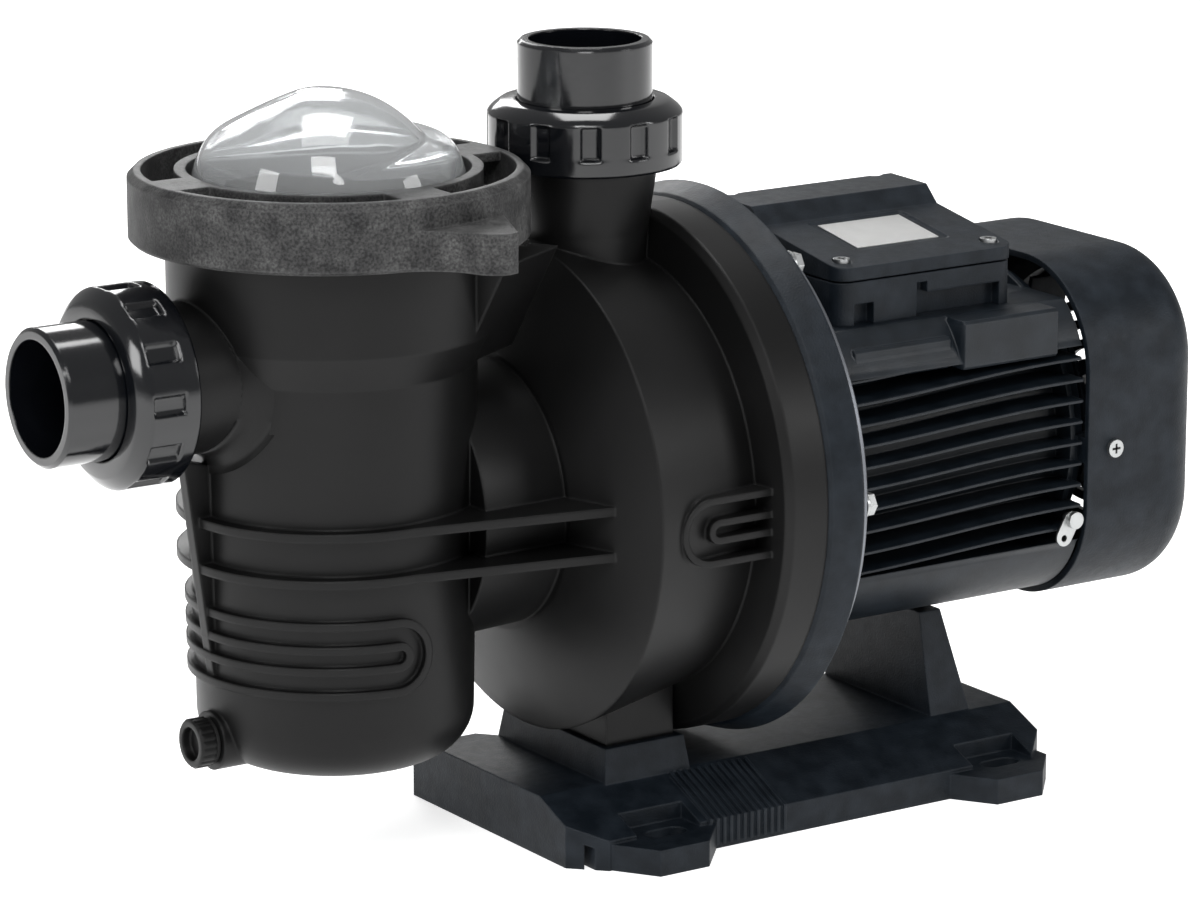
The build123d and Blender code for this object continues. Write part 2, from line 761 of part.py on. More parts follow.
# mechanical seal: the seat stays in the seal plate, the head turns with the shaft
seat_front = -plate_t - 9
seat_face = seat_front - 1
with BuildPart() as seal_seat:
    turned(
        side, shaft_axis,
        [(-plate_t + 3, shaft_wet_r + 1.5), (-plate_t + 3, seat_r), (seat_front, seat_r), (seat_front, seat_r - 2),
         (seat_face, seat_r - 2), (seat_face, shaft_wet_r + 1.5)],
    )
finish(seal_seat, "seal_seat")

with BuildPart() as seal_head:
    turned(
        side, shaft_axis,
        [(seat_face - 0.1, shaft_wet_r), (seat_face - 0.1, seat_r - 3), (seat_face - 5, seat_r - 2),
         (seat_face - 12, seat_r - 2), (seat_face - 12, seat_r - 4), (hub_rear, seat_r - 4), (hub_rear, shaft_wet_r)],
    )
finish(seal_head, "seal_head")

# ---------------------------------------------------------------- diffuser and its ring
diffuser_r = 86.0
diffuser_front = -84.0
guide_count = 8
with BuildPart() as diffuser:
    turned(
        side, shaft_axis,
        [(nose_front + 1, eye_neck_r + 0.5), (nose_front + 1, eye_neck_r + 4), (diffuser_front, eye_neck_r + 4),
         (diffuser_front, diffuser_r), (diffuser_front + 3, diffuser_r), (diffuser_front + 3, eye_neck_r + 3.5),
         (impeller_front - 4, eye_neck_r + 0.5)],
    )
    for index in range(guide_count):
        with BuildSketch(across(diffuser_front + 1, index * 360 / guide_count)):
            with BuildLine():
                guide = ThreePointArc((61, 0), (68, 18), (66, 42))
            trace(guide, line_width=3.2)
        extrude(amount=-plate_t - spigot_t - diffuser_front - 1)
    with BuildSketch(across(-plate_t - spigot_t - 3)):
        Circle(diffuser_r)
        Circle(impeller_r + 3, mode=Mode.SUBTRACT)
    extrude(amount=3)
finish(diffuser, "diffuser")

with BuildPart() as diffuser_ring:
    turned(
        side, shaft_axis,
        [(nose_front + 1, eye_neck_r + 4), (nose_front + 1, eye_hole_r), (nose_front + wall - 1, eye_hole_r),
         (nose_front + wall - 1, eye_neck_r + 4)],
    )
finish(diffuser_ring, "diffuser_ring")

# ---------------------------------------------------------------- shaft, rotor, bearings
rear_bearing_x = 158.0
fan_x = 176.0
shaft_rear = 196.0
with BuildPart() as motor_shaft:
    turned(
        side, shaft_axis,
        [(shaft_tip - 4, 0), (shaft_tip - 4, shaft_wet_r - 2), (hub_front, shaft_wet_r - 2),
         (hub_front, shaft_wet_r), (9, shaft_wet_r), (9, bearing_bore_r), (front_bearing_x + bearing_w + 1, bearing_bore_r),
         (front_bearing_x + bearing_w + 1, shaft_core_r), (rear_bearing_x - 1, shaft_core_r),
         (rear_bearing_x - 1, bearing_bore_r), (rear_bearing_x + bearing_w + 1, bearing_bore_r),
         (rear_bearing_x + bearing_w + 1, shaft_wet_r - 1), (shaft_rear, shaft_wet_r - 1), (shaft_rear, 0)],
    )
finish(motor_shaft, "motor_shaft")

with BuildPart() as rotor_core:
    turned(
        side, shaft_axis,
        [(stack_front, shaft_core_r), (stack_front, 22), (stack_front - 6, 22), (stack_front - 6, rotor_r - 3),
         (stack_front, rotor_r - 3), (stack_front, rotor_r), (stack_rear, rotor_r), (stack_rear, rotor_r - 3),
         (stack_rear + 6, rotor_r - 3), (stack_rear + 6, 22), (stack_rear, 22), (stack_rear, shaft_core_r)],
    )
finish(rotor_core, "rotor_core")

with BuildPart() as shaft_slinger:
    turned(
        side, shaft_axis,
        [(-4, shaft_wet_r), (-4, 18), (-2.5, 18), (-2, 11), (0.5, 10), (0.5, shaft_wet_r)],
    )
finish(shaft_slinger, "shaft_slinger")


def bearing(x):
    """A sealed ball bearing: outer ring, two shields and inner ring as one closed section."""
    with BuildPart() as part:
        turned(
            side, shaft_axis,
            [(x, bearing_bore_r + running), (x, 12), (x + 0.8, 12.4), (x + 0.8, 16.6), (x, 17), (x, bearing_outer_r),
             (x + bearing_w, bearing_outer_r), (x + bearing_w, 17), (x + bearing_w - 0.8, 16.6),
             (x + bearing_w - 0.8, 12.4), (x + bearing_w, 12), (x + bearing_w, bearing_bore_r + running)],
        )
    return part


finish(bearing(front_bearing_x), "front_bearing")
finish(bearing(rear_bearing_x), "rear_bearing")

washer_x = rear_bearing_x + bearing_w
with BuildPart() as wave_washer:
    with BuildSketch(across(washer_x)):
        Circle(bearing_outer_r - 0.5)
        Circle(15, mode=Mode.SUBTRACT)
    extrude(amount=1)
finish(wave_washer, "wave_washer")

# ---------------------------------------------------------------- stator
slot_count = 24
slot_top_r = 46.0
with BuildPart() as stator_core:
    with BuildSketch(across(stack_front)):
        Circle(stator_r)
        Circle(stator_bore_r, mode=Mode.SUBTRACT)
        with PolarLocations((slot_top_r + stator_bore_r) / 2, slot_count):
            Rectangle(slot_top_r - stator_bore_r - 3, 4.2, mode=Mode.SUBTRACT)
    extrude(amount=stack_rear - stack_front)
finish(stator_core, "stator_core")

coil_overhang = 15.0
with BuildPart() as stator_windings:
    with BuildSketch(across(stack_front)):
        with PolarLocations((slot_top_r + stator_bore_r) / 2, slot_count):
            Rectangle(slot_top_r - stator_bore_r - 3.4, 3.8)
    extrude(amount=stack_rear - stack_front)
    for start, amount in ((stack_front, -coil_overhang), (stack_rear, coil_overhang)):
        with BuildSketch(across(start)):
            Circle(slot_top_r + 4)
            Circle(stator_bore_r + 1.6, mode=Mode.SUBTRACT)
        extrude(amount=amount)
finish(stator_windings, "stator_windings")

# ---------------------------------------------------------------- motor frame
tie_r = 2.0
tie_circle_r = 62.4
earth_x = 152.0
earth_screw_z = -35.0
earth_screw_r = 2.0
cover_screw_x = 175.0
cover_screw_z = -4.0
cover_screw_r = 2.0
cover_lug_y = 73.0
ear_t = 6.0
with BuildPart() as motor_frame:
    with BuildSketch(across(frame_front)):
        Circle(frame_core_r + 3)
        with GridLocations(0, fin_pitch, 1, fin_count):
            Rectangle(2 * frame_half_w, fin_t)
        with Locations((0, -frame_half_h)):
            Rectangle(2 * frame_half_w, 2 * (frame_half_h - 47))
        with Locations((0, 56)):
            Rectangle(2 * frame_half_w, 20)
        RectangleRounded(2 * frame_half_w, 2 * frame_half_h, frame_corner_r, mode=Mode.INTERSECT)
        Circle(frame_core_r - 4, mode=Mode.SUBTRACT)
        with Locations((0, box_low + 20)):
            Rectangle(2 * frame_half_w, 40, mode=Mode.SUBTRACT)
    extrude(amount=frame_rear - frame_front)
    # seat of the stator is tighter than the rest of the bore
    with BuildSketch(across(stack_front)):
        Circle(frame_core_r - 4)
        Circle(stator_r, mode=Mode.SUBTRACT)
    extrude(amount=stack_rear - stack_front)
    # windows in the lower corners that lighten the casting
    with BuildSketch(across(frame_front)):
        for sign in (1, -1):
            with Locations((sign * 56, -60)):
                RectangleRounded(18, 12, 3)
    extrude(amount=frame_rear - frame_front, mode=Mode.SUBTRACT)
    # boss for the earth screw
    with BuildSketch(upright(-frame_core_r)):
        with Locations((earth_x, earth_screw_z)):
            Circle(5)
    extrude(amount=frame_half_w - frame_core_r)
    with BuildSketch(upright(-frame_half_w)):
        with Locations((earth_x, earth_screw_z)):
            Circle(earth_screw_r + 0.1)
    extrude(amount=-8, mode=Mode.SUBTRACT)
    # tie bolt holes along the wall
    with BuildSketch(across(frame_front)):
        with PolarLocations(tie_circle_r, 4, start_angle=45):
            Circle(tie_r + 0.2)
    extrude(amount=frame_rear - frame_front, mode=Mode.SUBTRACT)
finish(motor_frame, "motor_frame")

with BuildPart() as rear_end_shield:
    with BuildSketch(across(frame_rear)):
        Circle(frame_core_r + 8)
        Circle(bearing_outer_r, mode=Mode.SUBTRACT)
    extrude(amount=rear_shield_t)
    with BuildSketch(across(frame_rear)):
        Circle(bearing_outer_r + 5)
        Circle(bearing_outer_r, mode=Mode.SUBTRACT)
    extrude(amount=bearing_w + 1)
    with BuildSketch(across(washer_x + 1)):
        Circle(bearing_outer_r + 5)
        Circle(bearing_bore_r + 1.5, mode=Mode.SUBTRACT)
    extrude(amount=2)
    with BuildSketch(across(frame_rear)):
        with PolarLocations(tie_circle_r, 4, start_angle=45):
            Circle(tie_r + 0.2)
    extrude(amount=rear_shield_t, mode=Mode.SUBTRACT)
    # ears that the fan cover is screwed to
    for sign in (1, -1):
        with BuildSketch(across(frame_rear)):
            with Locations((sign * (cover_lug_y - ear_t / 2), cover_screw_z)):
                Rectangle(ear_t, 12)
        extrude(amount=cover_screw_x + 6 - frame_rear)
        with BuildSketch(upright(sign * cover_lug_y)):
            with Locations((cover_screw_x, cover_screw_z)):
                Circle(cover_screw_r + 0.15)
        extrude(amount=sign * ear_t, mode=Mode.SUBTRACT)
finish(rear_end_shield, "rear_end_shield")

with BuildPart() as tie_bolts:
    with BuildSketch(across(frame_front)):
        with PolarLocations(tie_circle_r, 4, start_angle=45):
            Circle(tie_r)
    extrude(amount=frame_rear + rear_shield_t - frame_front)
    with BuildSketch(across(frame_rear + rear_shield_t)):
        with PolarLocations(tie_circle_r, 4, start_angle=45):
            RegularPolygon(4.0, 6)
    extrude(amount=3)
finish(tie_bolts, "tie_bolts")

# ---------------------------------------------------------------- cooling fan and cover
fan_hub_r = 14.0
fan_r = 66.0
fan_w = 22.0
with BuildPart() as cooling_fan:
    turned(
        side, shaft_axis,
        [(fan_x, shaft_wet_r - 1), (fan_x, fan_r - 8), (fan_x + 2.5, fan_r - 8), (fan_x + 2.5, fan_hub_r),
         (shaft_rear - 4, fan_hub_r), (shaft_rear - 4, shaft_wet_r - 1)],
    )
    with BuildSketch(across(fan_x + 1)):
        with PolarLocations((fan_r + fan_hub_r) / 2 - 1, 7):
            Rectangle(fan_r - fan_hub_r + 2, 2.5)
    extrude(amount=fan_w)
finish(cooling_fan, "cooling_fan")

with BuildPart() as fan_circlip:
    with BuildSketch(across(shaft_rear - 4)):
        Circle(shaft_wet_r + 2)
        Circle(shaft_wet_r - 1, mode=Mode.SUBTRACT)
        with Locations((0, -shaft_wet_r)):
            Rectangle(5, 8, mode=Mode.SUBTRACT)
    extrude(amount=1.2)
finish(fan_circlip, "fan_circlip")

cover_front = frame_rear + 2
with BuildPart() as fan_cover:
    with BuildSketch(across(cover_front)):
        RectangleRounded(2 * cover_half, 2 * cover_half, cover_corner_r)
    extrude(amount=cover_rear - cover_front)
    fillet(fan_cover.faces().sort_by(Axis.X)[-1].edges(), radius=cover_edge_r)
    with BuildSketch(across(cover_front)):
        RectangleRounded(2 * (cover_half - cover_wall), 2 * (cover_half - cover_wall), cover_corner_r - cover_wall)
    extrude(amount=cover_rear - cover_front - cover_wall - 9, mode=Mode.SUBTRACT)
    with BuildSketch(across(cover_rear - cover_wall - 9)):
        Circle(cover_half - cover_edge_r)
    extrude(amount=9, mode=Mode.SUBTRACT)
    # air grille in the rear wall
    with BuildSketch(across(cover_rear)):
        for ring in reversed(range(5)):
            Circle(16 + 9.5 * ring + 5)
            Circle(16 + 9.5 * ring, mode=Mode.SUBTRACT)
        Rectangle(2 * cover_half, 4, mode=Mode.SUBTRACT)
        Rectangle(4, 2 * cover_half, mode=Mode.SUBTRACT)
    extrude(amount=-cover_wall - 0.5, mode=Mode.SUBTRACT)
    # inner lugs that reach the end shield, with side screw holes
    for sign in (1, -1):
        with BuildSketch(across(cover_front)):
            with Locations((sign * (cover_lug_y + cover_half) / 2, cover_screw_z)):
                Rectangle(cover_half - cover_lug_y, 12)
        extrude(amount=cover_screw_x + 6 - cover_front)
        with BuildSketch(upright(sign * cover_half)):
            with Locations((cover_screw_x, cover_screw_z)):
                Circle(cover_screw_r + 0.15)
        extrude(amount=sign * 8, mode=Mode.SUBTRACT)
finish(fan_cover, "fan_cover")

with BuildPart() as fan_cover_screws:
    for sign in (1, -1):
        with BuildSketch(upright(sign * cover_half)):
            with Locations((cover_screw_x, cover_screw_z)):
                Circle(cover_screw_r)
        extrude(amount=sign * (cover_half - cover_lug_y + ear_t - 1))
        with BuildSketch(upright(sign * cover_half)):
            with Locations((cover_screw_x, cover_screw_z)):
                Circle(4.2)
        extrude(amount=-sign * 2)
finish(fan_cover_screws, "fan_cover_screws")

# ---------------------------------------------------------------- terminal box
box_mid_x = (box_front_x + box_rear_x) / 2
box_len = box_rear_x - box_front_x
box_mid_y = (box_back_y - box_half_y) / 2
box_w = box_half_y + box_back_y
gasket_t = 1.0
gland_r = 6.4
box_post_r = 7.0
box_recess_t = 6.0
box_recesses = ((9, 20, 10), (44, 50, 16), (50, 91, 11))     # start, end, height
with BuildPart() as terminal_box:
    with BuildSketch(level(box_low)):
        with Locations((box_mid_x, box_mid_y)):
            RectangleRounded(box_len - 1, box_w - 1, box_corner_r - 0.5)
    extrude(amount=box_parting - box_low)
    with BuildSketch(level(box_low + box_wall)):
        with Locations((box_mid_x, box_mid_y + box_recess_t / 2)):
            RectangleRounded(box_len - 1 - 2 * box_wall, box_w - 1 - 2 * box_wall - box_recess_t, box_corner_r - 3)
    extrude(amount=box_parting - box_low, mode=Mode.SUBTRACT)
    # screw posts in the four corners
    with BuildSketch(level(box_low)):
        with Locations((box_mid_x, box_mid_y)):
            with GridLocations(box_len - 17, box_w - 20, 2, 2):
                Circle(box_post_r)
    extrude(amount=box_parting - box_low)
    with BuildSketch(level(box_low + 6)):
        with Locations((box_mid_x, box_mid_y)):
            with GridLocations(box_len - 17, box_w - 20, 2, 2):
                Circle(1.8)
    extrude(amount=box_parting - box_low, mode=Mode.SUBTRACT)
    # recesses along the front wall, between webs
    with BuildSketch(upright(-box_half_y)):
        for near_x, far_x, height in box_recesses:
            with Locations((box_front_x + (near_x + far_x) / 2, box_low + height / 2)):
                Rectangle(far_x - near_x, height)
    extrude(amount=-box_recess_t, mode=Mode.SUBTRACT)
    # hole for the cable gland in the back wall, and wire hole in the floor
    with BuildSketch(upright(box_back_y + 2)):
        with Locations((box_mid_x, (box_low + box_parting) / 2)):
            Circle(gland_r + 0.2)
    extrude(amount=12, mode=Mode.SUBTRACT)
    with BuildSketch(level(box_low - 1)):
        with Locations((box_mid_x - 25, 0)):
            Circle(8)
    extrude(amount=6, mode=Mode.SUBTRACT)
finish(terminal_box, "terminal_box")

with BuildPart() as terminal_box_gasket:
    with BuildSketch(level(box_parting)):
        with Locations((box_mid_x, box_mid_y)):
            RectangleRounded(box_len - 5, box_w - 7, 4.5)
            RectangleRounded(box_len - 10, box_w - 12, 3, mode=Mode.SUBTRACT)
            with GridLocations(box_len - 17, box_w - 20, 2, 2):
                Circle(5)
            with GridLocations(box_len - 17, box_w - 20, 2, 2):
                Circle(1.8, mode=Mode.SUBTRACT)
    extrude(amount=gasket_t)
finish(terminal_box_gasket, "terminal_box_gasket")

lid_low = box_parting + gasket_t
lid_slope = (box_lid_step - box_lid_edge) / box_half_y      # rise of the front half of the lid per mm
label_y = -21.5
label_sink = 0.9
plate_tilt = degrees(atan(lid_slope))
label_plane = Plane(
    origin=(plate_x + box_mid_x, label_y, shaft_height + box_lid_edge + lid_slope * (label_y + box_half_y) - label_sink),
    x_dir=(1, 0, 0), z_dir=(0, -sin(radians(plate_tilt)), cos(radians(plate_tilt))),
)
label_len = 46.0
label_w = 31.0
post_y = box_mid_y - (box_w - 20) / 2
screw_seat = box_lid_edge + lid_slope * (post_y + box_half_y) - 1.2
rear_screw_seat = box_parting + 5
with BuildPart() as terminal_box_lid:
    with BuildSketch(across(box_front_x)):
        with BuildLine():
            Polyline(
                (-box_half_y, lid_low), (-box_half_y, box_lid_edge), (0, box_lid_step), (8.3, box_plateau - 0.5),
                (36, box_plateau), (box_back_y, box_plateau - 5), (box_back_y, lid_low), close=True,
            )
        make_face()
    extrude(amount=box_len)
    with BuildSketch(level(lid_low)):
        with Locations((box_mid_x, box_mid_y)):
            RectangleRounded(box_len, box_w, box_corner_r)
    extrude(amount=box_plateau - lid_low, mode=Mode.INTERSECT)
    # recess with sloping sides that holds the rating plate
    with BuildSketch(label_plane):
        RectangleRounded(label_len + 7, label_w + 6, 2)
    extrude(amount=18, taper=-32, mode=Mode.SUBTRACT)
    # hollow underside
    with BuildSketch(across(box_front_x + 5)):
        with BuildLine():
            Polyline(
                (-box_half_y + 18, lid_low), (-34, lid_low + 3), (0, lid_low + 9), (10, box_plateau - 6),
                (32, box_plateau - 6), (box_back_y - 16, box_plateau - 14), (box_back_y - 16, lid_low), close=True,
            )
        make_face()
    extrude(amount=box_len - 10, mode=Mode.SUBTRACT)
    # screw holes, with deep counterbores through the high rear half
    with BuildSketch(level(lid_low)):
        with Locations((box_mid_x, box_mid_y)):
            with GridLocations(box_len - 17, box_w - 20, 2, 2):
                Circle(2.0)
    extrude(amount=box_plateau - lid_low, mode=Mode.SUBTRACT)
    for row, seat in ((-1, screw_seat), (1, rear_screw_seat)):
        with BuildSketch(level(seat)):
            with Locations((box_mid_x, box_mid_y + row * (box_w - 20) / 2)):
                with GridLocations(box_len - 17, 0, 2, 1):
                    Circle(lid_screw_r + 0.5)
        extrude(amount=30, mode=Mode.SUBTRACT)
finish(terminal_box_lid, "terminal_box_lid")

with BuildPart() as terminal_lid_screws:
    for row, seat in ((-1, screw_seat), (1, rear_screw_seat)):
        with BuildSketch(level(seat)):
            with Locations((box_mid_x, box_mid_y + row * (box_w - 20) / 2)):
                with GridLocations(box_len - 17, 0, 2, 1):
                    Circle(1.8)
        extrude(amount=box_low + 8 - seat)
        with BuildSketch(level(seat)):
            with Locations((box_mid_x, box_mid_y + row * (box_w - 20) / 2)):
                with GridLocations(box_len - 17, 0, 2, 1):
                    Circle(lid_screw_r)
        extrude(amount=2.4)
finish(terminal_lid_screws, "terminal_lid_screws")

with BuildPart() as rating_plate:
    with BuildSketch(label_plane):
        Rectangle(label_len, label_w)
    extrude(amount=0.5)
finish(rating_plate, "rating_plate")

capacitor_r = 13.0
with BuildPart() as capacitor:
    with BuildSketch(across(box_front_x + 22)):
        with Locations((18, box_low + 3 + capacitor_r)):
            Circle(capacitor_r)
    extrude(amount=66)
finish(capacitor, "capacitor")

with BuildPart() as terminal_block:
    with BuildSketch(level(box_low + 3)):
        with Locations((box_mid_x, -25)):
            Rectangle(60, 16)
    extrude(amount=11)
    with BuildSketch(level(box_low + 14)):
        with Locations((box_mid_x, -25)):
            with GridLocations(9, 0, 6, 1):
                Rectangle(6.5, 12)
    extrude(amount=-5, mode=Mode.SUBTRACT)
finish(terminal_block, "terminal_block")

gland_height = (box_low + box_parting) / 2
with BuildPart() as cable_gland:
    with BuildSketch(upright(box_back_y - 8)):
        with Locations((box_mid_x, gland_height)):
            Circle(gland_r)
    extrude(amount=-10)
    with BuildSketch(upright(box_back_y - 0.5)):
        with Locations((box_mid_x, gland_height)):
            RegularPolygon(9.5, 6)
    extrude(amount=-4)
    with BuildSketch(upright(box_back_y + 2)):
        with Locations((box_mid_x, gland_height)):
            Circle(8.5)
    extrude(amount=-12)
    with BuildSketch(upright(box_back_y + 14)):
        with Locations((box_mid_x, gland_height)):
            Circle(4.0)
    extrude(amount=22, mode=Mode.SUBTRACT)
finish(cable_gland, "cable_gland")

# ---------------------------------------------------------------- earth tab and screw
tab_t = 1.2
with BuildPart() as earth_tab:
    with BuildSketch(upright(-frame_half_w)):
        with Locations((earth_x - 3, earth_screw_z - 4)):
            SlotOverall(17, 9, rotation=60)
        with Locations((earth_x, earth_screw_z)):
            Circle(earth_screw_r + 0.1, mode=Mode.SUBTRACT)
        with Locations((earth_x - 5.2, earth_screw_z - 8.2)):
            Circle(1.6, mode=Mode.SUBTRACT)
    extrude(amount=tab_t)
finish(earth_tab, "earth_tab")

with BuildPart() as earth_screw:
    with BuildSketch(upright(-frame_half_w - tab_t)):
        with Locations((earth_x, earth_screw_z)):
            Circle(4)
    extrude(amount=2.4)
    with BuildSketch(upright(-frame_half_w - tab_t)):
        with Locations((earth_x, earth_screw_z)):
            Circle(earth_screw_r)
    extrude(amount=-6)
finish(earth_screw, "earth_screw")

# ---------------------------------------------------------------- base
base_len = base_rear - base_front
front_slot_x = -plate_x - slot_spacing_x / 2
rear_slot_x = -plate_x + slot_spacing_x / 2
grip_ribs = 12


def base_profile(inset):
    """Cross-section of the base plate, inset from its outside: a low edge rising to a flat middle."""
    half, top_half = base_half_w - inset, base_top_half_w - inset
    return [(-half, 0), (half, 0), (half, base_edge - inset), (top_half, base_top - inset),
            (-top_half, base_top - inset), (-half, base_edge - inset)]


with BuildPart() as base_stand:
    # plate: low edge rising to a flat middle
    with BuildSketch(across(base_front)):
        with BuildLine():
            Polyline(*[(y, z - shaft_height) for y, z in base_profile(0)], close=True)
        make_face()
    extrude(amount=base_len)
    # corners cut across
    with BuildSketch(floor_level(0)):
        for end_x, end_sign in ((base_front, 1), (base_rear, -1)):
            for sign in (1, -1):
                with BuildLine():
                    Polyline(
                        (end_x, sign * (base_half_w + 1)), (end_x, sign * (base_half_w - base_corner)),
                        (end_x + end_sign * base_corner, sign * base_half_w),
                        (end_x + end_sign * base_corner, sign * (base_half_w + 1)), close=True,
                    )
                make_face()
    extrude(amount=base_top, mode=Mode.SUBTRACT)
    # four lugs with recessed pads
    for slot_x in (front_slot_x, rear_slot_x):
        for sign in (1, -1):
            with BuildSketch(floor_level(0)):
                with BuildLine():
                    Polyline(
                        (slot_x - 30, sign * (base_half_w - 20)), (slot_x + 26, sign * (base_half_w - 20)),
                        (slot_x + 26, sign * base_half_w), (slot_x + 9, sign * lug_reach),
                        (slot_x - 17, sign * lug_reach), (slot_x - 30, sign * base_half_w), close=True,
                    )
                make_face()
            extrude(amount=lug_pad)
            with BuildSketch(floor_level(lug_pad)):
                with Locations((slot_x, sign * (base_half_w + 12))):
                    Rectangle(34, 54)
            extrude(amount=base_top, mode=Mode.SUBTRACT)
    # pedestal under the pump foot
    with BuildSketch(floor_level(base_top - 8)):
        with Locations(((pedestal_front + pedestal_rear) / 2, 0)):
            Rectangle(pedestal_rear - pedestal_front + 6, 2 * pedestal_half_w)
    with BuildSketch(floor_level(pedestal_top)):
        with Locations(((pedestal_front + pedestal_rear) / 2, 0)):
            Rectangle(pedestal_rear - pedestal_front, 2 * pedestal_half_w - 8)
    loft()
    # rear wall that carries the motor
    with BuildSketch(upright(0)):
        with BuildLine():
            Polyline(
                (support_front, base_top - 8 - shaft_height), (support_low_rear, base_top - 8 - shaft_height),
                (support_top_rear, support_top - shaft_height), (support_front, support_top - shaft_height),
                close=True,
            )
        make_face()
    extrude(amount=support_half_w, both=True)
    for sign in (1, -1):
        with BuildSketch(across(support_front)):
            with BuildLine():
                Polyline(
                    (sign * support_half_w, base_top - shaft_height),
                    (sign * support_top_half_w, support_top - shaft_height),
                    (sign * (support_half_w + 2), support_top - shaft_height),
                    (sign * (support_half_w + 2), base_top - shaft_height), close=True,
                )
            make_face()
        extrude(amount=support_low_rear - support_front, mode=Mode.SUBTRACT)
    # fine grip ribs between the front lugs and the middle, on the sloping top
    for sign in (1, -1):
        with BuildSketch(across(-50), mode=Mode.PRIVATE) as rib_side:
            with BuildLine():
                Polyline(
                    (sign * (base_half_w + 1.2), 2 - shaft_height),
                    (sign * (base_half_w + 1.2), base_edge + 0.6 - shaft_height),
                    (sign * (base_top_half_w + 4), base_top + 0.6 - shaft_height),
                    (sign * (base_top_half_w + 4), 8 - shaft_height), close=True,
                )
            make_face()
        for index in range(grip_ribs):
            extrude(rib_side.sketch.moved(Location((index * 3.7, 0, 0))), amount=1.6)
    # hollow underside, left and right of a middle web
    for low_x, high_x in ((base_front + 6, front_slot_x - 36), (front_slot_x + 32, -plate_x - base_web / 2),
                          (-plate_x + base_web / 2, rear_slot_x - 36)):
        with BuildSketch(across(low_x), mode=Mode.PRIVATE) as pocket:
            with BuildLine():
                Polyline(*[(y, z - shaft_height) for y, z in base_profile(base_wall)], close=True)
            make_face()
        extrude(pocket.sketch, amount=high_x - low_x, mode=Mode.SUBTRACT)
    # floor slots and foot screw holes
    with BuildSketch(floor_level(0)):
        with Locations((-plate_x, 0)):
            with GridLocations(slot_spacing_x, slot_spacing_y, 2, 2):
                SlotOverall(slot_length, slot_w)
    extrude(amount=base_top, mode=Mode.SUBTRACT)
    with BuildSketch(floor_level(0)):
        with Locations(((foot_front + foot_rear) / 2, 22), ((foot_front + foot_rear) / 2, -22)):
            Circle(3.3)
    extrude(amount=pedestal_top + 1, mode=Mode.SUBTRACT)
    with BuildSketch(floor_level(0)):
        with Locations(((foot_front + foot_rear) / 2, 22), ((foot_front + foot_rear) / 2, -22)):
            Circle(7)
    extrude(amount=base_top - 4, mode=Mode.SUBTRACT)
finish(base_stand, "base_stand")

with BuildPart() as foot_screws:
    with BuildSketch(floor_level(base_top - 8)):
        with Locations(((foot_front + foot_rear) / 2, 22), ((foot_front + foot_rear) / 2, -22)):
            Circle(6)
    extrude(amount=4)
    with BuildSketch(floor_level(base_top - 4)):
        with Locations(((foot_front + foot_rear) / 2, 22), ((foot_front + foot_rear) / 2, -22)):
            Circle(3.0)
    extrude(amount=pedestal_top - base_top + 12)
finish(foot_screws, "foot_screws")

motor_bottom = shaft_height - frame_half_h
with BuildPart() as motor_pad:
    with BuildSketch(floor_level(support_top)):
        with Locations(((support_front + support_top_rear) / 2 + 1, 0)):
            Rectangle(9, 44)
    extrude(amount=motor_bottom - support_top)
finish(motor_pad, "motor_pad")
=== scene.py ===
# %% [markdown]
# # A pool pump, dressed over its fixed frame
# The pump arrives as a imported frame: every moulding, screw and seal is already in its place and at its real
# size, in metres. This lesson gives those parts their finishes, and makes the pieces whose shape needs a
# finer surface than the frame gives: the clear lid, the moulded union nuts, the finned motor body, a root
# fillet and the cross recesses of the screws that show.

# %% Load the frame
import bmesh
import bpy
import numpy as np
from math import atan2, pi, radians
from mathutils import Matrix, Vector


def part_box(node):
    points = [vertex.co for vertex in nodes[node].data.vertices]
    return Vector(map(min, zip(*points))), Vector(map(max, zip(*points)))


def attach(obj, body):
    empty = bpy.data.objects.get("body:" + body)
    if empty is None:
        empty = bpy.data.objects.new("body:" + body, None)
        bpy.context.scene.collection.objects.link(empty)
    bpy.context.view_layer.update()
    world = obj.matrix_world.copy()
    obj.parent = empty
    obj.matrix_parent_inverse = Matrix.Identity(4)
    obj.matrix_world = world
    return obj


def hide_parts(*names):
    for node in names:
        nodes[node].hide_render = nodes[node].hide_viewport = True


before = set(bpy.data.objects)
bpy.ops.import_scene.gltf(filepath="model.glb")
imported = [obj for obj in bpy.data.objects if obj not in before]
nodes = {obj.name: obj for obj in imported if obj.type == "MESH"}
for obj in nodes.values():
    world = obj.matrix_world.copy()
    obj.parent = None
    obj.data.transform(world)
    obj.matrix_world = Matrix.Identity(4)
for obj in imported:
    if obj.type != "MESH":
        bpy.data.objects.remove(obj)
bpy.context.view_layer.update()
MM = 0.001

# %% [markdown]
# Everything else is measured from the frame. The shaft height, the pot axis and the two union axes come
# from the boxes of the nodes that are centred on them, so a new piece always lands on the part that it
# dresses.

# %% Places read from the frame


def middle(node):
    """Centre of a node's box."""
    low, high = (np.array(corner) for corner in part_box(node))
    return (low + high) / 2


shaft = middle("motor_shaft")
pot = middle("strainer_basket")
lid_top = float(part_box("strainer_lid")[1][2])
print("shaft height", round(shaft[2], 4), "pot axis x", round(pot[0], 4))

# %% [markdown]
# ## Camera and light
# The camera is a long lens a couple of metres away, a little above the pump, so the shaft axis runs gently
# uphill to the right. The light is a plain studio: a pale floor, an even white sky and five large soft
# lamps. Black plastic has almost no colour of its own, so the broad reflections of the lamps give it its
# shape.

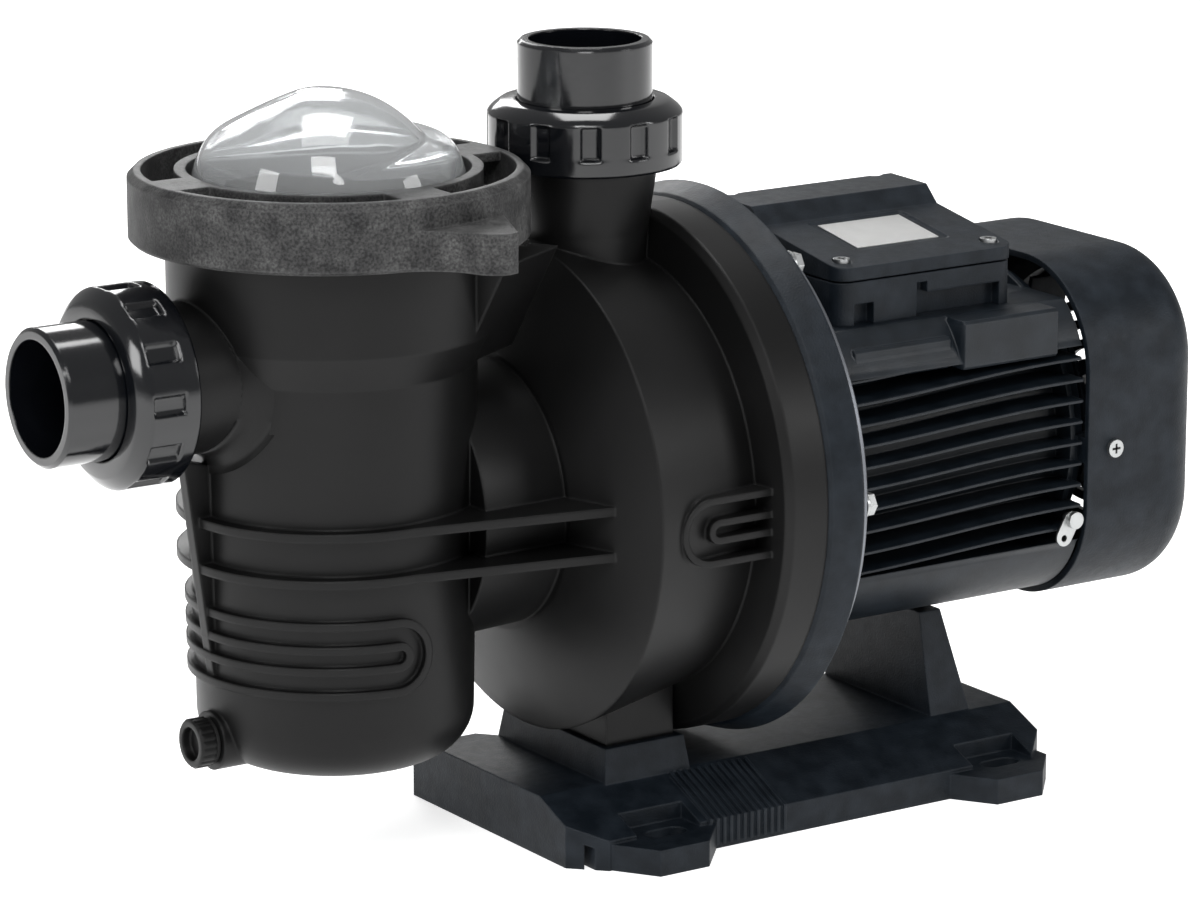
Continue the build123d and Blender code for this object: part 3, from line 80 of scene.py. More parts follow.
# %% Camera
CAMERA_PLACE = (-1.3451, -1.9075, 0.7382)
CAMERA_TURN = radians(-33.59)
CAMERA_DIP = radians(13.96)
camera_data = bpy.data.cameras.new("camera")
camera_data.lens = 157.2
camera_data.sensor_width = 36.0
camera_data.clip_end = 20.0
camera = bpy.data.objects.new("camera", camera_data)
camera.location = CAMERA_PLACE
camera.rotation_euler = (pi / 2 - CAMERA_DIP, 0, CAMERA_TURN)
bpy.context.scene.collection.objects.link(camera)
bpy.context.scene.camera = camera
print("camera", camera.location[:])

# %% Studio


def soft_lamp(name, place, aim, size, power, tint=(1.0, 1.0, 1.0)):
    """A square area lamp at place, turned to face aim."""
    data = bpy.data.lights.new(name, "AREA")
    data.energy = power
    data.size = size
    data.color = tint
    lamp = bpy.data.objects.new(name, data)
    lamp.location = place
    way = np.array(aim) - np.array(place)
    lamp.rotation_euler = (atan2(np.hypot(way[0], way[1]), -way[2]), 0, atan2(way[1], way[0]) - pi / 2)
    bpy.context.scene.collection.objects.link(lamp)
    return lamp


centre = (-0.08, 0.0, 0.17)
soft_lamp("key_lamp", (-1.1, -1.6, 1.9), centre, 0.9, 30)
soft_lamp("left_lamp", (-2.2, -0.2, 0.9), centre, 0.7, 12)
soft_lamp("right_lamp", (1.6, -1.8, 1.0), centre, 0.8, 14)
soft_lamp("top_lamp", (0.1, 0.3, 2.2), centre, 1.0, 26)
soft_lamp("rim_lamp", (0.6, 1.9, 1.2), centre, 0.9, 16)

world = bpy.data.worlds.new("studio")
bpy.context.scene.world = world
world.use_nodes = True
world.node_tree.nodes["Background"].inputs["Color"].default_value = (1.0, 1.0, 1.0, 1)
world.node_tree.nodes["Background"].inputs["Strength"].default_value = 0.34
bpy.context.scene.view_settings.view_transform = "Standard"

# %% [markdown]
# ## Helpers for finishes
# A finish is a shader with three things the eye looks for in moulded plastic and painted metal: a fine
# grain in the surface, slow variation in colour and gloss, and edges that are slightly rounded and a little
# paler. The paler tint is a painted highlight that stands in for the light a rounded edge catches. The edges
# could be rounded in the mesh, but the frame's meshes are never changed, so the rounding is done in the
# shader, and the hard edges of the frame catch the light as real ones do.

# %% Finish helpers


def ramp_value(tree, source, low, high):
    """Map a 0 to 1 value onto the span low to high."""
    node = tree.nodes.new("ShaderNodeMapRange")
    node.inputs["To Min"].default_value = low
    node.inputs["To Max"].default_value = high
    tree.links.new(source, node.inputs["Value"])
    return node.outputs["Result"]


def contrast(tree, source, low, high):
    """Stretch the span low to high of a value over 0 to 1."""
    node = tree.nodes.new("ShaderNodeMapRange")
    node.inputs["From Min"].default_value = low
    node.inputs["From Max"].default_value = high
    tree.links.new(source, node.inputs["Value"])
    return node.outputs["Result"]


def noise(tree, size, detail=3.0, stretch=(1, 1, 1)):
    """Noise whose blotches are about size metres across, fixed to the object's own coordinates."""
    place = tree.nodes.new("ShaderNodeTexCoord")
    mapping = tree.nodes.new("ShaderNodeMapping")
    mapping.inputs["Scale"].default_value = stretch
    tree.links.new(place.outputs["Object"], mapping.inputs["Vector"])
    node = tree.nodes.new("ShaderNodeTexNoise")
    node.inputs["Scale"].default_value = 1.0 / size
    node.inputs["Detail"].default_value = detail
    tree.links.new(mapping.outputs["Vector"], node.inputs["Vector"])
    return node.outputs["Fac"]


def blend_colours(tree, factor, first, second):
    """Mix two colours, or two colour outputs, by a factor output."""
    node = tree.nodes.new("ShaderNodeMix")
    node.data_type = "RGBA"
    tree.links.new(factor, node.inputs["Factor"])
    for socket, colour in (("A", first), ("B", second)):
        target = next(s for s in node.inputs if s.name == socket and s.type == "RGBA")
        if isinstance(colour, bpy.types.NodeSocket):
            tree.links.new(colour, target)
        else:
            target.default_value = (*colour, 1)
    return next(s for s in node.outputs if s.type == "RGBA")


def rounded_normal(tree, radius):
    """The surface normal with its edges rounded to a radius in metres."""
    node = tree.nodes.new("ShaderNodeBevel")
    node.samples = 4
    node.inputs["Radius"].default_value = radius
    return node.outputs["Normal"]


def edge_mask(tree, smooth_normal):
    """1 near an edge and 0 on the flat: how far the rounded normal leans from the true one."""
    geometry = tree.nodes.new("ShaderNodeNewGeometry")
    dot = tree.nodes.new("ShaderNodeVectorMath")
    dot.operation = "DOT_PRODUCT"
    tree.links.new(geometry.outputs["Normal"], dot.inputs[0])
    tree.links.new(smooth_normal, dot.inputs[1])
    return contrast(tree, dot.outputs["Value"], 0.985, 0.86)


def bump(tree, heights, normal, strength=1.0):
    """Stack bumps, given as (height output, depth in metres) pairs, onto a normal."""
    for height, depth in heights:
        node = tree.nodes.new("ShaderNodeBump")
        node.inputs["Strength"].default_value = strength
        node.inputs["Distance"].default_value = depth
        tree.links.new(height, node.inputs["Height"])
        if normal is not None:
            tree.links.new(normal, node.inputs["Normal"])
        normal = node.outputs["Normal"]
    return normal


def new_finish(name):
    """An empty material with its shader and its tree."""
    material = bpy.data.materials.new(name)
    material.use_nodes = True
    return material, material.node_tree, material.node_tree.nodes["Principled BSDF"]


def moulded(name, colour, pale, gloss, grain_size, grain_depth, blotch=0.03, edge_r=0.0012, coat=0.0,
            edge_glint=0.35, shine=0.35):
    """Moulded plastic or painted metal: base colour, paler tint for blotches and edges, gloss as a pair of
    roughness limits, and the sizes of grain, blotches and rounded edges in metres."""
    material, tree, shader = new_finish(name)
    soft = rounded_normal(tree, edge_r)
    mottle = noise(tree, blotch, 4.0)
    body = blend_colours(tree, contrast(tree, mottle, 0.35, 0.75), colour, pale)
    # Painted highlight: near the edges the colour is blended towards a paler one, standing in for light
    # caught on a rounded edge.
    edge = ramp_value(tree, edge_mask(tree, soft), 0.0, edge_glint)
    edge_glint_colour = tuple(min(1.0, 2.2 * c + 0.015) for c in pale)
    tree.links.new(blend_colours(tree, edge, body, edge_glint_colour), shader.inputs["Base Color"])
    tree.links.new(ramp_value(tree, noise(tree, blotch * 0.4, 5.0), *gloss), shader.inputs["Roughness"])
    grain = noise(tree, grain_size, 2.0)
    tree.links.new(bump(tree, [(grain, grain_depth)], soft), shader.inputs["Normal"])
    shader.inputs["Specular IOR Level"].default_value = shine
    shader.inputs["Coat Weight"].default_value = coat
    shader.inputs["Coat Roughness"].default_value = 0.12
    return material


# %% [markdown]
# ## The finishes
# Most of the pump is black, but the blacks differ. The housing is a matt filled plastic with a faint sheen.
# The ring is the same family, but with a lot of glass fibre in it, which shows as pale speckle. The unions
# are shiny PVC. The motor, its covers and the base share a fine blue-black texture. The bright parts are
# zinc-plated screws and one machined rim.

# %% Black plastics and paints
housing_black = moulded("housing_black", (0.0032, 0.0032, 0.0033), (0.0056, 0.0056, 0.0057), (0.36, 0.46),
                        0.0006, 0.00003, blotch=0.06, edge_r=0.0018, edge_glint=0.30, shine=0.21)
textured_black = moulded("textured_black", (0.0034, 0.0058, 0.0090), (0.0115, 0.0158, 0.0215), (0.40, 0.58),
                         0.0009, 0.00014, blotch=0.011, edge_r=0.0014, edge_glint=0.30, shine=0.20)
motor_paint = moulded("motor_paint", (0.0022, 0.0044, 0.0070), (0.0078, 0.0116, 0.0165), (0.36, 0.50),
                      0.0008, 0.00010, blotch=0.013, edge_r=0.0010, edge_glint=0.30, shine=0.32)
union_gloss = moulded("union_gloss", (0.0018, 0.0022, 0.0032), (0.0030, 0.0036, 0.0050), (0.09, 0.16),
                      0.004, 0.00003, blotch=0.04, edge_r=0.0012, coat=0.3, edge_glint=0.06, shine=0.5)
wet_black = moulded("wet_black", (0.015, 0.015, 0.016), (0.03, 0.03, 0.032), (0.35, 0.5), 0.001, 0.00005)
rubber_and_recess_shade_black = moulded("rubber_and_recess_shade_black", (0.008, 0.008, 0.008), (0.016, 0.016, 0.016), (0.6, 0.8),
                       0.0007, 0.00005)
basket_grey = moulded("basket_grey", (0.42, 0.44, 0.47), (0.55, 0.57, 0.60), (0.3, 0.45),
                      0.0012, 0.00003, edge_glint=0.1)
print("black finishes", len([m for m in bpy.data.materials if "black" in m.name]))

# %% [markdown]
# ## Speckled plastic
# Glass fibres near the skin of a moulding scatter light, so such plastic looks like dark stone. Two noises,
# one as fine as the fibres and one as wide as the flow of the melt, mix four greys, and the fine one lifts
# the surface too.

# %% Speckled ring plastic


def speckled(name):
    """Glass-filled plastic: pale fibres and dark resin mixed at two scales, with a dry, uneven gloss."""
    material, tree, shader = new_finish(name)
    soft = rounded_normal(tree, 0.0016)
    fine = contrast(tree, noise(tree, 0.0012, 6.0), 0.36, 0.68)
    cloud = contrast(tree, noise(tree, 0.014, 4.0), 0.36, 0.66)
    resin = blend_colours(tree, cloud, (0.012, 0.012, 0.0125), (0.032, 0.032, 0.0325))
    fibre = blend_colours(tree, cloud, (0.042, 0.042, 0.0425), (0.094, 0.094, 0.093))
    body = blend_colours(tree, fine, resin, fibre)
    # Painted highlight: the edges are blended towards a pale grey, standing in for light caught on a rounded
    # edge.
    edge = ramp_value(tree, edge_mask(tree, soft), 0.0, 0.35)
    tree.links.new(blend_colours(tree, edge, body, (0.15, 0.15, 0.15)), shader.inputs["Base Color"])
    tree.links.new(ramp_value(tree, fine, 0.44, 0.62), shader.inputs["Roughness"])
    shader.inputs["Specular IOR Level"].default_value = 0.16
    heights = [(fine, 0.00005), (noise(tree, 0.006, 3.0), 0.00012)]
    tree.links.new(bump(tree, heights, soft), shader.inputs["Normal"])
    return material


ring_speckle = speckled("ring_speckle")
print("speckle", ring_speckle.name)

# %% [markdown]
# ## Metals
# A metal has no colour under its gloss: what shows is the room in it. So the two things to set are how
# blurred the room is, and which way the scratches run. A noise stretched along one direction gives both.

# %% Metals


def metal(name, colour, gloss, brushed=(1, 1, 1), depth=0.00003, size=0.0008, tarnish=0.15):
    """Bare or plated metal: a colour, roughness limits, and scratches drawn out along one direction."""
    material, tree, shader = new_finish(name)
    soft = rounded_normal(tree, 0.0005)
    cloud = noise(tree, 0.012, 4.0)
    dull = tuple(c * (1 - tarnish) for c in colour)
    tint = blend_colours(tree, contrast(tree, cloud, 0.3, 0.7), dull, colour)
    tree.links.new(tint, shader.inputs["Base Color"])
    shader.inputs["Metallic"].default_value = 1.0
    scratch = noise(tree, size, 3.0, brushed)
    tree.links.new(ramp_value(tree, scratch, *gloss), shader.inputs["Roughness"])
    tree.links.new(bump(tree, [(scratch, depth)], soft), shader.inputs["Normal"])
    return material


zinc = metal("zinc_plate", (0.46, 0.47, 0.47), (0.26, 0.42))
bright_rim = metal("bright_rim", (0.20, 0.21, 0.23), (0.34, 0.50), (8, 1, 1))
ground_steel = metal("ground_steel", (0.60, 0.61, 0.63), (0.15, 0.28), (0.2, 6, 6))
laminated = metal("laminated", (0.22, 0.23, 0.25), (0.4, 0.55), (10, 0.5, 0.5), size=0.001)
copper = metal("copper_wire", (0.62, 0.27, 0.12), (0.25, 0.4), (6, 1, 1), size=0.0016, depth=0.0002)
brass = metal("brass", (0.75, 0.56, 0.24), (0.2, 0.34))
can = metal("capacitor_can", (0.62, 0.63, 0.65), (0.25, 0.4))
label_silver = metal("label_silver", (0.86, 0.86, 0.85), (0.34, 0.46), (1, 12, 1), depth=0.00001,
                     tarnish=0.06)
ceramic_white = moulded("ceramic_white", (0.75, 0.74, 0.70), (0.85, 0.84, 0.8), (0.15, 0.25), 0.002, 0.00002)
terminal_white = moulded("terminal_white", (0.60, 0.60, 0.56), (0.7, 0.7, 0.66), (0.35, 0.5), 0.001, 0.00002)
print("finishes so far", len([m for m in bpy.data.materials if m.node_tree]))

# %% [markdown]
# ## Clear plastic
# The lid is clear so that the owner can see when the basket is full. Real ones are never quite clear: a
# small share of white scatter and a wavy surface tell the eye that this is moulded plastic and not glass.

# %% Clear polycarbonate


def clear_plastic(name):
    """Clear moulded plastic: almost colourless, slightly wavy, with a thin haze of fine scratches."""
    material, tree, shader = new_finish(name)
    shader.inputs["Base Color"].default_value = (0.93, 0.95, 0.96, 1)
    shader.inputs["Transmission Weight"].default_value = 0.85
    shader.inputs["IOR"].default_value = 1.45
    haze = contrast(tree, noise(tree, 0.03, 5.0), 0.45, 0.8)
    tree.links.new(ramp_value(tree, haze, 0.03, 0.16), shader.inputs["Roughness"])
    tree.links.new(bump(tree, [(noise(tree, 0.02, 1.0), 0.0002)], None), shader.inputs["Normal"])
    return material


lid_clear = clear_plastic("lid_clear")
print("clear", lid_clear.name)

# %% [markdown]
# ## Which part gets which finish
# Every part of the frame is listed under its finish, the hidden ones too, because the pump can be opened.
# The cell prints the names of any parts that were missed.

# %% Finishes onto the frame's parts
finishes = {
    housing_black: ["pump_housing", "drain_plug"],
    ring_speckle: ["lid_ring"],
    union_gloss: ["suction_union_nut", "suction_union_tail", "discharge_union_nut", "discharge_union_tail"],
    lid_clear: ["strainer_lid"],
    textured_black: ["seal_plate", "base_stand", "fan_cover", "terminal_box", "terminal_box_lid",
                     "cable_gland", "cooling_fan"],
    motor_paint: ["motor_frame", "rear_end_shield"],
    wet_black: ["diffuser", "impeller"],
    rubber_and_recess_shade_black: ["lid_gasket", "suction_o_ring", "discharge_o_ring", "drain_o_ring", "casing_o_ring",
                   "diffuser_ring", "shaft_slinger", "terminal_box_gasket", "motor_pad"],
    basket_grey: ["strainer_basket"],
    bright_rim: ["front_end_shield"],
    zinc: ["flange_bolts", "flange_washers", "fan_cover_screws", "terminal_lid_screws", "earth_screw",
           "earth_tab", "foot_screws", "tie_bolts", "fan_circlip", "wave_washer", "seal_head"],
    ground_steel: ["front_bearing", "rear_bearing", "motor_shaft"],
    ceramic_white: ["seal_seat"],
    laminated: ["stator_core", "rotor_core"],
    copper: ["stator_windings"],
    brass: ["impeller_nut"],
    can: ["capacitor"],
    label_silver: ["rating_plate"],
    terminal_white: ["terminal_block"],
}


def dress(piece, material):
    """Put one material in every slot of a piece."""
    for index in range(len(piece.material_slots)):
        piece.material_slots[index].material = material
    if not piece.material_slots:
        piece.data.materials.append(material)


for material, names in finishes.items():
    for name in names:
        dress(nodes[name], material)
bare = sorted(set(nodes) - {n for names in finishes.values() for n in names})
print("nodes without a finish", bare)

# %% [markdown]
# ## Surfaces from two parameters
# Each new piece is a grid of points worked out as whole arrays, because one formula for the whole surface
# is easier to read and to change than hundreds of moves of single points. One function joins the rows and
# columns of a grid into faces, and another makes the mesh, where points that fall together become a pole.

# %% Grid to mesh


def grid_faces(index, loop_rows, loop_columns):
    """Four-sided faces over a grid of point numbers: neighbours in both directions are joined, and the rows
    or the columns close round where asked."""
    down = np.roll(index, -1, axis=0) if loop_rows else index[1:]
    here = index if loop_rows else index[:-1]
    first, second = (np.concatenate([block, block[:, :1]], axis=1) if loop_columns else block
                     for block in (here, down))
    return np.stack([first[:, :-1], first[:, 1:], second[:, 1:], second[:, :-1]], axis=-1).reshape(-1, 4)


def faces_piece(name, points, faces, sharp=35.0):
    """A mesh object from points and a list of faces, with doubles merged, smooth shading and creases past an
    angle in degrees."""
    mesh = bpy.data.meshes.new(name)
    mesh.from_pydata(np.asarray(points, float).tolist(), [], faces)
    piece = bpy.data.objects.new(name, mesh)
    bpy.context.scene.collection.objects.link(piece)
    work = bmesh.new()
    work.from_mesh(mesh)
    bmesh.ops.remove_doubles(work, verts=work.verts, dist=1e-6)
    bmesh.ops.dissolve_degenerate(work, edges=work.edges, dist=1e-7)
    bmesh.ops.recalc_face_normals(work, faces=work.faces)
    work.to_mesh(mesh)
    work.free()
    mesh.polygons.foreach_set("use_smooth", np.ones(len(mesh.polygons), bool))
    mesh.set_sharp_from_angle(angle=radians(sharp))
    return piece


def grid_piece(name, grid, loop_rows=False, sharp=35.0):
    """A mesh from a grid of points of shape (rows, columns, 3) whose columns close round."""
    index = np.arange(grid.shape[0] * grid.shape[1]).reshape(grid.shape[:2])
    return faces_piece(name, grid.reshape(-1, 3), grid_faces(index, loop_rows, True).tolist(), sharp)


print("faces over a 3 by 4 grid", len(grid_faces(np.arange(12).reshape(3, 4), False, True)))

# %% [markdown]
# ## The clear lid
# Two domes in one moulding: a shallow one that fills the ring, and a tall one set off centre that gives
# room for the handle of the basket. It could be sculpted, but a height over the plan gives both domes in
# one formula. The inside is the same height less the wall, and a short wall and a flange join them at the
# rim.

# %% Clear lid
VIEW_RIGHT = np.array([0.833, -0.553])       # plan direction in which the tall dome is steepest
VIEW_DEPTH = np.array([0.553, 0.833])


def smoothstep(value):
    """0 below 0, 1 above 1, and 3 v^2 - 2 v^3 between."""
    v = np.clip(value, 0, 1)
    return v * v * (3 - 2 * v)


def lid_height(right, depth):
    """Height of the lid over the shaft, mm: 171.6 - 0.00115 r^2 - 15.6 (r / 59)^14 for the shallow dome, plus
    18.6 (1 - q^p) for the tall one, q the distance from its centre over 49 and p = 1.9 + 0.8 cos(angle)."""
    r = np.hypot(right, depth)
    shallow = 171.6 - 0.00115 * r ** 2 - 15.6 * (np.clip(r, 0, 59) / 59) ** 14
    across, along = right + 8.0, depth + 9.0
    q = np.clip(np.hypot(across, along) / 49.0, 0, 1)
    power = 1.9 + 0.8 * np.cos(np.arctan2(along, across))
    tall = 18.6 * (1 - q ** power)
    return shallow + tall


def lid_surface(outer_r, drop, rows, columns=192):
    """Points of the dome from its middle out to outer_r mm, lowered by drop mm."""
    r = outer_r * np.linspace(0, 1, rows)[:, None] ** 0.8
    angle = np.linspace(0, 2 * pi, columns, endpoint=False)[None, :]
    plan_x, plan_y = r * np.cos(angle), r * np.sin(angle)
    right = plan_x * VIEW_RIGHT[0] + plan_y * VIEW_RIGHT[1]
    depth = plan_x * VIEW_DEPTH[0] + plan_y * VIEW_DEPTH[1]
    return np.stack([plan_x, plan_y, lid_height(right, depth) - drop], axis=-1)


def rings(profile, columns=192):
    """Circles about Z, one for each (radius, height) pair in mm."""
    r, z = np.array(profile, float).T
    angle = np.linspace(0, 2 * pi, columns, endpoint=False)
    return np.stack([r[:, None] * np.cos(angle), r[:, None] * np.sin(angle), z[:, None] + 0 * angle], axis=-1)


LID_WALL = 3.2
flange = [(59.0, 152.0), (59.0, 142.0), (60.0, 141.0), (72.5, 141.0), (73.0, 140.5), (73.0, 137.0),
          (56.0, 137.0), (55.8, 150.0)]
lid_grid = np.concatenate([lid_surface(58.9, 0.0, 70), rings(flange), lid_surface(55.6, LID_WALL, 60)[::-1]])
lid_grid = lid_grid * MM + np.array([pot[0], 0, shaft[2]])
clear_lid = grid_piece("clear_lid", lid_grid, sharp=45)
dress(clear_lid, lid_clear)
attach(clear_lid, "lid")
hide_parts("strainer_lid")
print("clear lid top", round(float(lid_grid[..., 2].max()), 4), "frame's", round(lid_top, 4))

# %% [markdown]
# ## Union nuts
# A hand-tight nut needs pads to grip. Each nut is one closed shell of revolution whose outside is pushed in
# between twelve raised pads. Cutting twelve windows out of a solid would leave hard corners; pushing the
# radius in by a smooth step rounds them as a mould does. The pads stop short of both ends, which leaves a
# solid band at the pump side and a chamfered rim at the pipe side.

# %% Union nuts
NUT_OUTER_R = 43.55
NUT_HOLE_R = 30.8
NUT_THREAD_R = 36.5
NUT_LIP = 5.0
NUT_ROUND = 1.2
NUT_CHAMFER = 6.0
NUT_BAND = 7.0       # solid band at the pump end
NUT_RIM = 5.4        # solid rim at the pipe end
NUT_STEP = 1.4       # length over which a window deepens


def nut_grid(length, outer_r, hole_r, thread_r, lip, pads=12, dip=2.3, columns=288):
    """Points of a nut about +Z with its pump end at 0, in mm: r = profile(z) - dip w(z) g(a), where w is 1
    over the windows' length and g is 1 between the pads. The profile is rounded over NUT_ROUND at the pump
    end and falls away over NUT_CHAMFER at the pipe end."""
    shoulder = length - NUT_CHAMFER
    z = np.concatenate([np.linspace(0.0, NUT_ROUND, 4), np.linspace(NUT_ROUND + 0.1, shoulder, 44),
                        np.linspace(shoulder + 0.1, length, 12)])
    fall = np.clip((z - shoulder) / NUT_CHAMFER, 0, 1) ** 1.6
    body = outer_r - 0.9 * smoothstep(1 - z / NUT_ROUND) - 6.2 * fall
    window = smoothstep((z - NUT_BAND) / NUT_STEP) * smoothstep((length - NUT_RIM - z) / NUT_STEP)
    angle = np.linspace(0, 2 * pi, columns, endpoint=False)
    beat = np.abs(np.mod(angle * pads / (2 * pi), 1) - 0.5) * 2
    gap = smoothstep((beat - 0.60) / 0.10)
    crown = 0.35 * (1 - beat ** 2)
    r = body[:, None] - window[:, None] * (dip * gap[None, :] - crown[None, :] + 0.35)
    inside = np.array([(hole_r, length), (hole_r, length - lip), (thread_r, length - lip), (thread_r, 0.0)])
    r = np.concatenate([r, np.repeat(inside[:, :1], columns, axis=1)])
    heights = np.concatenate([z, inside[:, 1]])[:, None] + 0 * angle[None, :]
    return np.stack([r * np.cos(angle), r * np.sin(angle), heights], axis=-1)


def place_nut(name, node, body, axis):
    """Stand a nut on the box of its node: axis is 'up' for a pipe that rises, 'front' for one that leaves at
    -X."""
    low, high = (np.array(corner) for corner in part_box(node))
    length = (high - low)[2 if axis == "up" else 0] / MM
    grid = nut_grid(length, NUT_OUTER_R, NUT_HOLE_R, NUT_THREAD_R, NUT_LIP) * MM
    if axis == "up":
        points = grid + np.array([(low[0] + high[0]) / 2, (low[1] + high[1]) / 2, low[2]])
    else:
        points = np.stack([high[0] - grid[..., 2], grid[..., 1], grid[..., 0]], axis=-1)
        points = points + np.array([0, (low[1] + high[1]) / 2, (low[2] + high[2]) / 2])
    piece = grid_piece(name, points, loop_rows=True, sharp=50)
    dress(piece, union_gloss)
    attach(piece, body)
    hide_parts(node)
    return piece


for port, axis in (("suction", "front"), ("discharge", "up")):
    nut = place_nut(f"{port}_nut_moulding", f"{port}_union_nut", f"{port}_nut", axis)
    print(nut.name, len(nut.data.polygons))

# %% [markdown]
# ## Finned motor body
# The aluminium body is a tube with a smooth panel below and another above, and ten fins on each side
# between them. The fins don't run straight: they rise by half a pitch in a long S from the flange to the
# fan. The frame holds straight ones, so the whole body is made again here. Each part of it is a closed
# grid, and all of them are joined into one object.

# %% Outline of the motor body
motor_low, motor_high = (np.array(corner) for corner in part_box("motor_frame"))
FIN_PITCH = 9.9
FIN_RISE = 5.2
HALF_W = 80.0
HALF_H = 77.0
CORNER = 46.0


def outline_reach(angle):
    """Distance in mm from the axis to the rounded square outline of the body, at an angle above +Y: the
    nearer of the two flats, and on a corner the arc of radius CORNER, R cos(d) + sqrt(CORNER^2 - (R sin d)^2)
    with its centre R away and d the angle from it."""
    c, s = np.abs(np.cos(angle)), np.abs(np.sin(angle))
    cy, cz = HALF_W - CORNER, HALF_H - CORNER
    along = c * cy + s * cz
    offset = cy ** 2 + cz ** 2 - along ** 2
    arc = along + np.sqrt(np.clip(CORNER ** 2 - offset, 0, None))
    flat = np.minimum(HALF_W / np.maximum(c, 1e-6), HALF_H / np.maximum(s, 1e-6))
    py, pz = flat * c, flat * s
    return np.where((py > cy) & (pz > cz), arc, flat)


print("reach at 45 degrees", round(float(outline_reach(pi / 4)), 2), "mm")

# %% Tube, panels and fins of the motor body
TUBE_R = 66.0
FLANGE_R = 75.0      # rim at the fan end
MOUTH_R = 59.0       # bore at both ends, which the end shields close
SEAT_R = 58.0        # tighter bore between them, round the stator core
PANEL_ROOT_R = 62.0  # inside of the panels, in the tube's wall
FIN_THICK = 2.3


def ring_body(stations, radii, columns=160):
    """A turned shell about the shaft: x stations and radii in mm, closed round into a loop of rows."""
    angle = np.linspace(0, 2 * pi, columns, endpoint=False)
    x = np.array(stations, float)[:, None] + 0 * angle
    r = np.array(radii, float)[:, None]
    return np.stack([x, r * np.cos(angle), r * np.sin(angle)], axis=-1)


def panel_body(x0, x1, start, stop, floor_z, cap_z=None, columns=90):
    """A panel that hugs the tube from x0 to x1 mm, with a 1 mm chamfer at both: its outside follows the
    outline between two angles, and its inside is the tube wall or the level floor_z, which meets the outside
    at both angles and closes the panel there."""
    angle = np.linspace(start, stop, columns)
    outer = outline_reach(angle)
    if cap_z is not None:
        outer = np.minimum(outer, cap_z / np.abs(np.sin(angle)))
    inner = np.minimum(np.maximum(PANEL_ROOT_R, floor_z / np.abs(np.sin(angle))), outer)
    loops = []
    for x, r in ((x0, outer - 1.0), (x0 + 1.0, outer), (x1 - 1.0, outer), (x1, outer - 1.0), (x1, inner),
                 (x0, inner)):
        r = np.maximum(r, inner)
        loops.append(np.stack([0 * angle + x, r * np.cos(angle), r * np.sin(angle)], axis=-1))
    return np.stack(loops)


def fin_body(x0, x1, z, side, thick=FIN_THICK, columns=48):
    """One fin as a loop of six edges along x: the root in the tube, the two flanks and a rounded tip. Its
    height is z plus FIN_RISE times a smooth step from 12 mm after x0 to 12 mm before x1."""
    x = np.linspace(x0, x1, columns)
    mid = z + FIN_RISE * smoothstep((x - x0 - 12) / (x1 - x0 - 24))
    angle = np.arctan2(np.abs(mid), 70.0)
    tip = np.minimum(outline_reach(angle) * np.cos(angle), HALF_W - 0.4)
    root = np.sqrt(np.maximum(TUBE_R ** 2 - mid ** 2, 30.0 ** 2)) - 3.0
    edges = ((root, 0.62), (tip - 1.2, 0.42), (tip - 0.2, 0.22), (tip - 0.2, -0.22), (tip - 1.2, -0.42),
             (root, -0.62))
    return np.stack([np.stack([x, side * y, mid + thick * half], axis=-1) for y, half in edges])


def joined(name, parts, material, body, sharp=40.0):
    """One object from several closed grids, each a (grid, loop_rows, loop_columns, caps) tuple in mm: where
    caps is true, the first and the last column are each filled with one face."""
    points, faces, base = [], [], 0
    for grid, loop_rows, loop_columns, caps in parts:
        rows, columns = grid.shape[:2]
        index = np.arange(rows * columns).reshape(rows, columns) + base
        faces.extend(grid_faces(index, loop_rows, loop_columns).tolist())
        if caps:
            faces.extend([index[:, 0].tolist(), index[::-1, -1].tolist()])
        points.append(grid.reshape(-1, 3))
        base += rows * columns
    piece = faces_piece(name, np.concatenate(points) * MM + np.array([0, 0, shaft[2]]), faces, sharp)
    dress(piece, material)
    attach(piece, body)
    return piece


front, rear = motor_low[0] / MM, motor_high[0] / MM
seat_front, seat_rear = front + 46, rear - 36
tube = ring_body([front, front, rear - 5, rear - 3.5, rear - 1, rear - 1, seat_rear, seat_rear, seat_front,
                  seat_front],
                 [MOUTH_R, TUBE_R, TUBE_R, FLANGE_R, FLANGE_R, MOUTH_R, MOUTH_R, SEAT_R, SEAT_R, MOUTH_R])
lower_edge = atan2(47.0, HALF_W)
upper_edge = atan2(46.0, 77.5)
lower = panel_body(front, rear, -pi + lower_edge, -lower_edge, 47.0)
upper = panel_body(front, rear, upper_edge, pi - upper_edge, 46.0, cap_z=66.0)
fin_parts = [(fin_body(front + 0.5, rear - 0.5, (k - 4.5) * FIN_PITCH, side), True, False, True)
             for k in range(10) for side in (1, -1)]
print("fins", len(fin_parts), "from x", round(float(front), 1), "to", round(float(rear), 1), "mm")

# %% [markdown]
# Above the fins, each side of the casting has a low block and a high one. A block is an octagon carried
# along the shaft that shrinks at its ends, which gives it chamfers on all its edges.

# %% Side panels, and the motor body put together


def slab(x_span, y_span, z_span, soft=1.5):
    """A block with all its edges cut back by soft mm, as eight lines along x: an octagon that shrinks at the
    ends."""
    x = np.array([x_span[0], x_span[0] + soft, x_span[1] - soft, x_span[1]])
    half_y, half_z = (y_span[1] - y_span[0]) / 2, (z_span[1] - z_span[0]) / 2
    ring = np.array([(-half_y, -half_z + soft), (-half_y, half_z - soft), (-half_y + soft, half_z),
                     (half_y - soft, half_z), (half_y, half_z - soft), (half_y, -half_z + soft),
                     (half_y - soft, -half_z), (-half_y + soft, -half_z)])
    shrink = 1 - soft * np.array([1, 0, 0, 1]) / min(half_y, half_z)
    y = (y_span[0] + y_span[1]) / 2 + ring[:, :1] * shrink
    z = (z_span[0] + z_span[1]) / 2 + ring[:, 1:] * shrink
    return np.stack([x + 0 * y, y, z], axis=-1)


